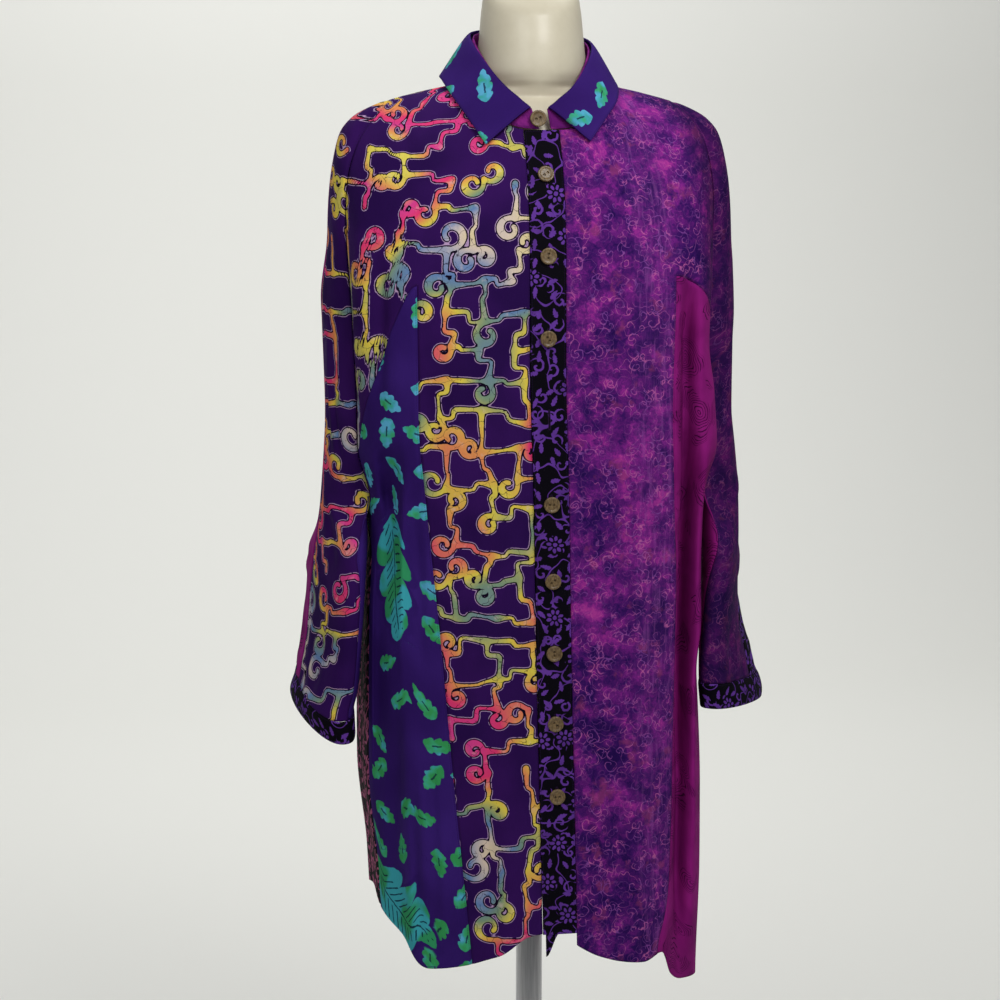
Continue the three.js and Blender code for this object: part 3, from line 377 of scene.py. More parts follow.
# ---------------------------------------------------------------- the body's surface
class Body:
    """Outer cloth of the dress's body: a rounded-box section whose depth falls away to the shoulders."""

    front_depth = Curve(DEPTH, 1)
    back_depth = Curve(DEPTH, 2)
    roundness = Curve(DEPTH, 3)
    shoulder = Curve(SHOULDER_LINE)
    reach = Curve([(z, x) for x, z in SHOULDER_LINE])
    neck_front = Curve(NECKLINE, 1)
    neck_back = Curve(NECKLINE, 2)
    placket = Curve(PLACKET_CENTRE)
    sleeve_start = Curve(SLEEVE_START)

    @classmethod
    def fold_rise(cls, side: Side, degrees: Array, z: Array) -> Array:
        """Height of the long folds: amount x smooth(2.2 down) x exp(-offset^2).

        Args:
            side: half of the dress.
            degrees: angles from the centre front.
            z: heights.

        Returns:
            The rise at each point.
        """
        total = np.zeros(np.broadcast(degrees, z).shape)
        for top, foot, top_z, foot_z, amount, half_width in side.folds:
            down = np.clip((top_z - z) / (top_z - foot_z), 0.0, 1.0)
            offset = (degrees - mix(top, foot, down)) / half_width
            total = total + amount * smooth(down * 2.2) * np.exp(-offset * offset)
        return total

    @classmethod
    def radius(cls, side: Side, degrees: Array, z: Array) -> Array:
        """Radius of the section: ((|sin| / width)^n + (|cos| / depth)^n)^(-1/n), plus the folds.

        Args:
            side: half of the dress.
            degrees: angles from the centre front.
            z: heights.

        Returns:
            Distances from the upright axis.
        """
        angle = np.radians(degrees)
        depth = np.where(degrees < 90, cls.front_depth(z), cls.back_depth(z))
        power = cls.roundness(z)
        across = np.abs(np.sin(angle)) / side.width(z)
        along = np.abs(np.cos(angle)) / depth
        return (across**power + along**power) ** (-1.0 / power) + cls.fold_rise(side, degrees, z)

    @classmethod
    def point(cls, side: Side, degrees: Array, z: Array) -> Array:
        """Points of the cloth at angles from the centre front and heights.

        The depth is the section's times sqrt(1 - (1 - fallen)^2), where fallen is the share of the
        way down from the shoulder line.

        Args:
            side: half of the dress.
            degrees: angles from the centre front.
            z: heights.

        Returns:
            The points.
        """
        degrees, z = np.broadcast_arrays(np.asarray(degrees, float), np.asarray(z, float))
        radius = cls.radius(side, degrees, z)
        x = radius * np.sin(np.radians(degrees))
        fall = np.where(degrees < 90, FRONT_FALL, BACK_FALL)
        below = np.clip((cls.shoulder(x) - z) / fall, 0.0, 1.0)
        y = -radius * np.cos(np.radians(degrees)) * np.sqrt(1.0 - (1.0 - below) ** 2)
        return np.stack([side.sign * x, y, z], axis=-1)

    @classmethod
    def angle(cls, side: Side, x: Array, z: Array, behind: bool = False) -> Array:
        """Degrees from the centre front at which the section lies x from the middle.

        Args:
            side: half of the dress.
            x: distances from the middle.
            z: heights.
            behind: whether it is the back.

        Returns:
            The angles.
        """
        power = cls.roundness(z)
        depth = cls.back_depth(z) if behind else cls.front_depth(z)
        inside = np.maximum(0.0, 1.0 - (np.abs(x) / side.width(z)) ** power)
        degrees = np.degrees(np.arctan2(x, depth * inside ** (1.0 / power)))
        return 180.0 - degrees if behind else degrees

    @classmethod
    def line(cls, side: Side, name: str) -> Line:
        """Seam curve by name, as degrees from the centre front over height.

        Args:
            side: half of the dress.
            name: the curve's name.

        Returns:
            The curve.
        """

        def turn(z: Array) -> Array:
            """Degrees that the valleys lie lower round the body than the sleeve's start."""
            return 5.0 * smooth((1330.0 - z) / 100.0)

        def swing(z: Array) -> Array:
            """Share that the side seam has swung forward."""
            return smooth((UNDERARM_Z - np.asarray(z, float)) / SWING_FALL)

        def valley(z: Array, behind: bool) -> Array:
            """Degrees at which the sleeve starts."""
            return cls.angle(side, side.width(z) * cls.sleeve_start(z), z, behind)

        lines: dict[str, Line] = {
            "front_edge": lambda z: cls.angle(side, PLACKET_HALF_WIDTH + side.sign * cls.placket(z), z),
            "panel": lambda z: cls.angle(side, side.seam(z), z),
            "front_valley": lambda z: valley(z, False) + turn(z) - VALLEY_SWING * swing(z),
            "side": lambda z: SIDE_SEAM - SEAM_SWING * swing(z),
            "back_valley": lambda z: valley(z, True) - turn(z),
            "centre_back": lambda z: np.full(np.shape(z), 180.0),
        }
        return lines[name]

    @classmethod
    def top(cls, side: Side, degrees: Line, count: int, behind: bool) -> Array:
        """Highest z of each column: the shoulder line, or the neckline where that is lower.

        Args:
            side: half of the dress.
            degrees: the columns' angles over height.
            count: how many there are.
            behind: whether it is the back.

        Returns:
            A height for each column.
        """
        neck = cls.neck_back if behind else cls.neck_front
        z = np.full(count, SEARCH_TOP_Z)
        for _ in range(30):
            angle = degrees(z)
            x = np.abs(cls.radius(side, angle, z) * np.sin(np.radians(angle)))
            edge = cls.shoulder(x) - 0.01
            limit = np.where(x < NECK_REACH, np.minimum(neck(x), edge), edge)
            z = mix(z, limit, 0.5)
        return z

    @classmethod
    def placket_point(cls, x: Array, z: Array) -> Array:
        """Point of the front at a distance x from the middle, on either side of it.

        Args:
            x: distances from the middle.
            z: heights.

        Returns:
            The points.
        """
        right = cls.point(RIGHT, cls.angle(RIGHT, np.abs(x), z), z)
        left = cls.point(LEFT, cls.angle(LEFT, np.abs(x), z), z)
        return np.where((x < 0)[..., None], right, left)


@dataclass(frozen=True)
class Span:
    """Run of columns between two seam curves, with the chest row's height over the share of the way."""

    start: str
    end: str
    cells: int
    chest: Line


@dataclass
class Rows:
    """How many rows of cells lie above the chest row, down to the underarm, and below it."""

    upper: int = 84
    middle: int = 88
    lower: int = 200

    def heights(self, top: Array, chest: Array, foot: Array) -> Array:
        """Heights of the rows of every column, from its top to its foot.

        Args:
            top: each column's highest z.
            chest: its height on the chest row.
            foot: its lowest z.

        Returns:
            Heights by column and row.
        """
        up = (np.arange(self.upper) / self.upper) ** 1.3
        mid = np.arange(self.middle) / self.middle
        low = np.arange(self.lower + 1) / self.lower
        parts = [
            mix(top[:, None], chest[:, None], up),
            mix(chest[:, None], UNDERARM_Z, mid),
            mix(UNDERARM_Z, foot[:, None], low),
        ]
        return np.concatenate(parts, axis=1)


# ---------------------------------------------------------------- cloth as a grid of points
@dataclass
class Cloth:
    """A piece of cloth: a grid of columns of points, with its flat coordinates, in millimetres."""

    points: Array
    flat: Array
    cells: Array | None = None
    ring: bool = False
    axis: Callable[[Array], Array] | None = None
    extra: dict[str, Array] = field(default_factory=dict)

    def normals(self) -> Array:
        """Outward normals: the cross product of the steps across and down, facing off the axis.

        Returns:
            A normal for each point.
        """
        across = np.gradient(self.points, axis=0)
        if self.ring:
            across[0] = across[-1] = self.points[1] - self.points[-2]
        down = np.gradient(self.points, axis=1)
        normal = unit(np.cross(across, down))
        middle = self.axis(self.points[..., 2]) if self.axis else np.zeros(self.points.shape[:2] + (2,))
        facing = np.sum(normal[..., :2] * (self.points[..., :2] - middle))
        return normal if facing > 0 else -normal

    def raised(self, rise: Array | float) -> "Cloth":
        """Moves the points out along the normals."""
        self.points = self.points + self.normals() * np.asarray(rise)[..., None]
        return self

    def used(self) -> Array:
        """Cells that are cloth."""
        full = np.ones((self.points.shape[0] - 1, self.points.shape[1] - 1), dtype=bool)
        return full if self.cells is None else self.cells

    def seam_distance(self, with_foot: bool = False) -> Array:
        """Distance from each point to the nearest cut edge, leaving out the hem's row.

        Args:
            with_foot: whether the last row counts as an edge.

        Returns:
            Distances in millimetres, at most 60.
        """
        used = self.used()
        touching = np.zeros(self.points.shape[:2], dtype=int)
        for a, b in ((0, 0), (1, 0), (0, 1), (1, 1)):
            touching[a : a + used.shape[0], b : b + used.shape[1]] += used
        edge = (touching > 0) & (touching < 4)
        if self.ring:
            edge[0, 1:-1] = edge[-1, 1:-1] = False
        if not with_foot:
            edge[1:-1, -1] = False
        border = self.points[edge]
        flat_points = self.points.reshape(-1, 3)
        nearest = np.full(len(flat_points), 3600.0)
        square = (border**2).sum(axis=1)
        for start in range(0, len(flat_points), 6000):
            part = flat_points[start : start + 6000]
            away = (part**2).sum(axis=1)[:, None] + square[None] - 2.0 * part @ border.T
            nearest[start : start + 6000] = np.minimum(away.min(axis=1), 3600.0)
        return np.sqrt(np.maximum(nearest, 0.0)).reshape(touching.shape)

    def pressed(self, depth: float = 0.8, width: float = 1.8) -> "Cloth":
        """Sinks the cloth along its seams by depth x exp(-(distance / width)^2).

        Args:
            depth: how deep the seam lies.
            width: how far it reaches.

        Returns:
            The cloth itself.
        """
        distance = self.seam_distance()
        self.extra["seam"] = distance * MM
        return self.raised(-depth * np.exp(-((distance / width) ** 2)))

    def build(self, name: str) -> bpy.types.Object:
        """Makes the mesh object, in metres, with its flat coordinates as the UV map 'cloth'.

        Args:
            name: the object's name.

        Returns:
            The object.
        """
        columns, rows = self.points.shape[:2]
        normal_out = self.normals()
        i, j = np.nonzero(self.used())
        wrap = columns - 1 if self.ring else columns
        corners_i = np.stack([i, i + 1, i + 1, i], axis=1)
        corners_j = np.stack([j, j, j + 1, j + 1], axis=1)
        a, b, d = self.points[i, j], self.points[i + 1, j], self.points[i, j + 1]
        turned = float(np.sum(np.cross(b - a, d - a) * normal_out[i, j])) < 0
        if turned:
            corners_i = corners_i[:, ::-1]
            corners_j = corners_j[:, ::-1]
        ids = (corners_i % wrap) * rows + corners_j
        kept, faces = np.unique(ids, return_inverse=True)
        faces = faces.reshape(ids.shape)
        mesh = smooth_mesh(name, self.points.reshape(-1, 3)[kept], faces.tolist())
        layer = mesh.uv_layers.new(name="cloth")
        uv = self.flat[corners_i, corners_j] * MM
        layer.data.foreach_set("uv", uv.reshape(-1).astype(np.float32))
        for key, values in self.extra.items():
            attribute = mesh.attributes.new(key, "FLOAT", "POINT")
            attribute.data.foreach_set("value", values.reshape(-1)[kept].astype(np.float32))
        mesh.update()
        return linked(name, mesh)

    def area(self) -> float:
        """Area of the cloth in square metres.

        Returns:
            The area.
        """
        i, j = np.nonzero(self.used())
        p = self.points
        cross = np.cross(p[i + 1, j + 1] - p[i, j], p[i, j + 1] - p[i + 1, j])
        return float(np.linalg.norm(cross, axis=1).sum() / 2.0) * MM * MM

    def cut(self) -> tuple[float, float]:
        """Width and length, in metres, of the rectangle that the flat cut fits in.

        Returns:
            Its width and length.
        """
        i, j = np.nonzero(self.used())
        u = self.flat[..., 0]
        v = self.flat[..., 1]
        low = min(u[i, j].min(), u[i + 1, j + 1].min())
        high = max(u[i, j].max(), u[i + 1, j + 1].max())
        foot = min(v[i, j].min(), v[i + 1, j + 1].min())
        top = max(v[i, j].max(), v[i + 1, j + 1].max())
        return float(high - low) * MM, float(top - foot) * MM


def run_across(points: Array, axes: int = 3) -> Array:
    """Length along each row from its first point, in three axes or seen from above in two."""
    steps = np.linalg.norm(np.diff(points[..., :axes], axis=0), axis=-1)
    return np.concatenate([np.zeros((1, points.shape[1])), np.cumsum(steps, axis=0)])


def run_down(points: Array) -> Array:
    """Length down each column from its first point."""
    steps = np.linalg.norm(np.diff(points, axis=1), axis=-1)
    return np.concatenate([np.zeros((points.shape[0], 1)), np.cumsum(steps, axis=1)], axis=1)


class BodyPiece:
    """Grid of the body's cloth between seam curves, from the shoulder or neckline to the hem."""

    def __init__(self, side: Side, spans: Sequence[Span], rows: Rows, behind: bool = False) -> None:
        """Args:
        side: the half of the dress.
        spans: runs of columns, from the middle outwards or from the side backwards.
        rows: numbers of rows.
        behind: whether the piece lies on the back.
        """
        self.side = side
        self.rows = rows
        self.spans = spans
        self.shares = []
        self.starts = [0]
        chest = []
        for index, span in enumerate(spans):
            share = np.arange(0 if index == 0 else 1, span.cells + 1) / span.cells
            self.shares.append(share)
            self.starts.append(self.starts[-1] + len(share))
            chest.append(np.asarray(span.chest(share), float) * np.ones(len(share)))
        self.count = self.starts[-1]
        self.chest = np.concatenate(chest)
        top = Body.top(side, self.degrees, self.count, behind)
        z = np.full(self.count, SEARCH_HEM_Z)
        for _ in range(12):
            z = mix(z, side.hem(self.degrees(z)), 0.7)
        self.z = rows.heights(top, self.chest, z)
        self.points = Body.point(side, self.degrees(self.z), self.z)

    def degrees(self, z: Array) -> Array:
        """Angle of every column at its heights, mixed between its span's seam curves.

        Args:
            z: heights by column, or by column and row.

        Returns:
            The angles.
        """
        parts = []
        for index, span in enumerate(self.spans):
            part = z[self.starts[index] : self.starts[index + 1]]
            share = self.shares[index].reshape((-1,) + (1,) * (part.ndim - 1))
            first = Body.line(self.side, span.start)(part)
            last = Body.line(self.side, span.end)(part)
            parts.append(mix(first, last, share))
        return np.concatenate(parts)

    def flat(self, first: float) -> Array:
        """Flat coordinates: length along the row from its first point, and length down the column.

        Args:
            first: flat X of the first column.

        Returns:
            Flat coordinates by column and row.
        """
        across = first + run_across(self.points, 2)
        down = run_down(self.points)
        chest_row = self.rows.upper
        height = self.chest[:, None] - (down - down[:, chest_row : chest_row + 1])
        return np.stack([across, height], axis=-1)


# ---------------------------------------------------------------- sleeves
class Sleeve:
    """A flattened tube that grows out of the body's cloth above the underarm."""

    outer_turns = {"right": 20.0, "left": 9.0}
    inner_turns = {"right": 34.0, "left": 58.0}

    def __init__(self, side: Side, rows: Rows) -> None:
        """Args:
        side: the half of the dress.
        rows: numbers of rows, as on the body.
        """
        self.side = side
        self.rows = rows

    def shape(self, z: Array) -> list[Array]:
        """Middle x and y, half-thickness, half-depth and toe-in in radians at a height."""
        x, y, thickness, depth, toe = (curve(z) for curve in self.side.sleeve)
        return [x, y, thickness, depth, np.radians(toe)]

    def axis(self, z: Array) -> Array:
        """Middle of the sleeve at a height."""
        x, y = self.shape(z)[:2]
        return np.stack([self.side.sign * x, y], axis=-1)

    def tube(self, degrees: Array, z: Array) -> Array:
        """Point of the free tube: 0 degrees is its outer edge, -90 its front, 180 faces the body.

        Args:
            degrees: angles round the tube.
            z: heights.

        Returns:
            The points.
        """
        x, y, thickness, depth, toe = self.shape(z)
        cosine = np.cos(np.radians(degrees))
        out = thickness * np.sign(cosine) * np.abs(cosine) ** 0.85
        along = depth * np.sin(np.radians(degrees))
        px = x + out * np.cos(toe) + along * np.sin(toe)
        py = y - out * np.sin(toe) + along * np.cos(toe)
        return np.stack(np.broadcast_arrays(self.side.sign * px, py, z), axis=-1)

    def clear(self, points: Array) -> Array:
        """Keeps points below the underarm outside the body, by 0.5 mm growing to 3.5 mm.

        Args:
            points: what is moved.

        Returns:
            The moved points.
        """
        z = points[..., 2]
        degrees = np.degrees(np.arctan2(points[..., 0] * self.side.sign, -points[..., 1]))
        needed = Body.radius(self.side, degrees, z) + 0.5 + 3.0 * smooth((UNDERARM_Z - z) / SWING_FALL)
        radius = np.hypot(points[..., 0], points[..., 1])
        scale = np.where((radius < needed) & (z <= UNDERARM_Z), needed / radius, 1.0)
        return points * np.stack([scale, scale, np.ones_like(scale)], axis=-1)

    def cuff_top(self, degrees: Array) -> Array:
        """Height at which the cuff starts, slanting from front to back.

        Args:
            degrees: angles round the tube.

        Returns:
            The heights.
        """
        depth = self.shape(np.array(self.side.cuff_foot))[3]
        lean = np.sin(np.radians(degrees)) * depth
        return self.side.cuff_foot + self.side.cuff_height + self.side.cuff_slant * lean / 75.0

    def outer_edge(self, z: Array) -> Array:
        """Outer edge: on the shoulder line at the top, and the tube's own edge lower down.

        Args:
            z: heights.

        Returns:
            The points.
        """
        low = self.tube(np.zeros_like(z), z)
        high = np.stack([self.side.sign * Body.reach(z), np.zeros_like(z), z], axis=-1)
        return mix(high, low, smooth((1300.0 - z) / 90.0)[..., None])

    def joined(self, degrees: Array, swung: Array, z: Array, cloth: Array) -> Array:
        """The free tube, its seams turned below the underarm, joined to the body's cloth above it.

        Args:
            degrees: angle of each column on the tube.
            swung: degrees that each column turns by.
            z: heights of the points.
            cloth: the points that the tube grows out of.

        Returns:
            The points, kept outside the body.
        """
        share = smooth((z - (UNDERARM_Z - SLEEVE_JOIN)) / SLEEVE_JOIN)[..., None]
        turned = degrees[:, None] + swung[:, None] * smooth((UNDERARM_Z - z) / SLEEVE_TURN_FALL)
        return self.clear(mix(self.tube(turned, z), cloth, share))

    def half(self, front: bool, cells: int, valley_flat: Array) -> Cloth:
        """Front or back of the sleeve: from the body's valley to the outer edge.

        Above the underarm each row is a quarter oval between the valley and the edge.

        Args:
            front: whether it is the front half.
            cells: number of cells across.
            valley_flat: flat coordinates of the body's valley column down to the underarm.

        Returns:
            The cloth.
        """
        side = self.side
        name = "front_valley" if front else "back_valley"
        valley = Body.line(side, name)
        start = Body.top(side, valley, 1, not front)[0]
        start_x = abs(Body.point(side, valley(np.array(start)), np.array(start))[0])
        share = np.arange(cells + 1) / cells
        degrees = (-1.0 if front else 1.0) * SLEEVE_SEAM * (1.0 - share)
        top = np.where(share > 0, Body.shoulder(mix(start_x, SLEEVE_TOP_X, share)) - 0.01, start)
        chest = mix(float(side.panel_top(1.0)) if front else APEX_Z, OUTER_EDGE_CHEST_Z, share)
        upper = self.rows.heights(top, chest, np.full(cells + 1, 0.0))
        upper = upper[:, : self.rows.upper + self.rows.middle + 1]
        steps = np.arange(1, self.rows.lower + 1) / self.rows.lower
        inner = self.inner_turns[side.name] * (1.0 - share) if front else 0.0
        swung = self.outer_turns[side.name] * share - inner
        lower = mix(UNDERARM_Z, self.cuff_top(degrees + swung)[:, None], steps)
        z = np.concatenate([upper, lower], axis=1)
        level = np.maximum(z, UNDERARM_Z)
        a = Body.point(side, valley(level), level)
        b = self.outer_edge(z)
        near = np.clip(1.0 - (top[:, None] - z) / SLEEVE_SHOULDER_FALL, 0, 1) ** 2
        near = np.where(share[:, None] > 0, near, 0.0)
        across = mix(np.sin(share * math.pi / 2.0)[:, None], 1.0, near)
        along = np.sqrt(1.0 - np.minimum(1.0, across) ** 2)
        cloth = np.stack([mix(a[..., 0], b[..., 0], across), mix(b[..., 1], a[..., 1], along), z], axis=-1)
        points = self.joined(degrees, swung, z, cloth)
        under = self.rows.upper + self.rows.middle
        down = run_down(points)
        height = valley_flat[-1, 1] - (down - down[:, under : under + 1])
        base = np.concatenate([valley_flat[:, 0], np.full(self.rows.lower, valley_flat[-1, 0])])
        flat = np.stack([base + run_across(points, 2), height], axis=-1)
        piece = Cloth(points, flat, axis=self.axis)
        from_edge = run_across(points[::-1])[::-1]
        calm = smooth(share[:, None] / 0.12)
        return piece.raised(ridges(SLEEVE_CREASES, from_edge, z) * calm)

    def under(self, cells: int) -> Cloth:
        """Under side of the sleeve: from the front seam round the inside to the back seam.

        Args:
            cells: number of cells across.

        Returns:
            The cloth.
        """
        side = self.side
        t = np.arange(cells + 1) / cells
        degrees = -SLEEVE_SEAM - t * (360.0 - 2.0 * SLEEVE_SEAM)
        level = np.array(UNDERARM_Z)
        first = float(Body.line(side, "front_valley")(level))
        last = float(Body.line(side, "back_valley")(level))
        anchor = Body.point(side, mix(first, last, t), np.full(cells + 1, UNDERARM_Z))
        outwards = unit(anchor * np.array([1.0, 1.0, 0.0])) * 0.5
        outwards[0] = outwards[-1] = 0.0
        steps = np.arange(self.rows.lower + 1) / self.rows.lower
        swung = -self.inner_turns[side.name] * (1.0 - t)
        z = mix(UNDERARM_Z, self.cuff_top(degrees + swung)[:, None], steps)
        target = np.repeat((anchor + outwards)[:, None], z.shape[1], axis=1)
        target[..., 2] = z
        points = self.joined(degrees, swung, z, target)
        flat = np.stack([UNDER_FLAT_X + run_across(points, 2), UNDERARM_Z - run_down(points)], axis=-1)
        return Cloth(points, flat, axis=self.axis)

    def cuff(self, cells: int) -> Cloth:
        """Closed band round the foot of the sleeve.

        Args:
            cells: number of cells round it.

        Returns:
            The cloth.
        """
        degrees = np.arange(cells + 1) * 360.0 / cells
        top = self.cuff_top(degrees) - LAYER_GAP
        z = top[:, None] - np.linspace(0.0, self.side.cuff_height, 15)
        points = self.tube(degrees[:, None], z)
        flat = np.stack([run_across(points), -run_down(points)], axis=-1)
        share = (top[:, None] - z) / self.side.cuff_height
        rise = 0.3 + 0.5 * (1.0 - (2.0 * share - 1.0) ** 8)
        return Cloth(points, flat, ring=True, axis=self.axis).raised(rise)


# ---------------------------------------------------------------- collar
def through(points: Array, t: Array) -> Array:
    """Centripetal Catmull-Rom curve through points, read at shares of its number of spans.

    Each span is the cubic whose end slopes come from the points round it, weighted by the square
    roots of their distances.

    Args:
        points: what the curve passes through.
        t: shares of the way.

    Returns:
        The curve's points.
    """
    padded = np.concatenate([[2 * points[0] - points[1]], points, [2 * points[-1] - points[-2]]])
    place = np.clip(t, 0.0, 1.0) * (len(points) - 1)
    i = np.minimum(place.astype(int), len(points) - 2)
    w = (place - i)[:, None]
    p0, p1, p2, p3 = (padded[i + k] for k in range(4))
    d0, d1, d2 = (
        np.sqrt(np.linalg.norm(b - a, axis=1))[:, None] for a, b in ((p0, p1), (p1, p2), (p2, p3))
    )
    m1 = ((p1 - p0) / d0 - (p2 - p0) / (d0 + d1) + (p2 - p1) / d1) * d1
    m2 = ((p2 - p1) / d1 - (p3 - p1) / (d1 + d2) + (p3 - p2) / d2) * d1
    return p1 + w * (m1 + w * (3 * (p2 - p1) - 2 * m1 - m2 + w * (2 * (p1 - p2) + m1 + m2)))


class Neck:
    """Collar that falls from its turn, and the stand that carries it."""

    def lifted(self, row: Sequence[float]) -> Array:
        """Point of the collar's edge, lifted off the front."""
        x, z, lift = row
        return Body.placket_point(np.array([x]), np.array([float(z)]))[0] - np.array([0, lift, 0])

    def collar(self) -> Cloth:
        """Straight between turn and edge, with a roll of 5 sin(pi sqrt(t)) mm.

        Returns:
            The cloth.
        """
        count, rows = 200, 36
        turn = through(np.array(FOLD_LINE, float), np.linspace(0, 1, count + 1))
        edge_points = [self.lifted(row) for row in COLLAR_EDGE_RIGHT]
        edge_points += [np.array(row, float) for row in COLLAR_BACK_EDGE]
        edge_points += [self.lifted(row) for row in COLLAR_EDGE_LEFT]
        edge = through(np.array(edge_points), np.linspace(0, 1, count + 1))
        t = np.linspace(0, 1, rows + 1)
        points = mix(turn[:, None], edge[:, None], t[None, :, None])
        ends = smooth(np.minimum(np.arange(count + 1), np.arange(count + 1)[::-1]) / 8.0)
        points[..., 2] += 5.0 * np.sin(np.pi * np.sqrt(t)) * mix(0.3, 1.0, ends)[:, None]
        flat = np.stack([run_across(points)[:, -1:] * np.ones(rows + 1), -run_down(points)], axis=-1)
        return Cloth(points, flat)

    def stand(self) -> Cloth:
        """Band from the neckline up to just inside the collar's turn.

        Returns:
            The cloth.
        """
        count = 160
        t = np.linspace(0, 1, count + 1)
        top = through(np.array(FOLD_LINE, float), t)
        turn = mix(-1.0, 1.0, mix(0.012, 0.988, t)) * math.pi
        x = np.abs(np.sin(turn)) * STAND_REACH
        behind = np.abs(turn) < math.pi / 2
        z = np.where(behind, Body.neck_back(x), Body.neck_front(x))
        foot = np.zeros((count + 1, 3))
        for side in (RIGHT, LEFT):
            for back in (False, True):
                here = ((turn < 0) == (side is RIGHT)) & (behind == back)
                angle = Body.angle(side, x, z, back)
                foot[here] = Body.point(side, angle, z)[here]
        inwards = unit(-top * np.array([1.0, 1.0, 0.0]))
        top = top + inwards * 2.35
        top[:, 2] -= 1.5
        foot[:, 2] += 1.1
        rows = np.linspace(0, 1, 13)
        points = mix(foot[:, None], top[:, None], rows[None, :, None])
        flat = np.stack([run_across(points), -run_down(points)], axis=-1)
        return Cloth(points, flat)


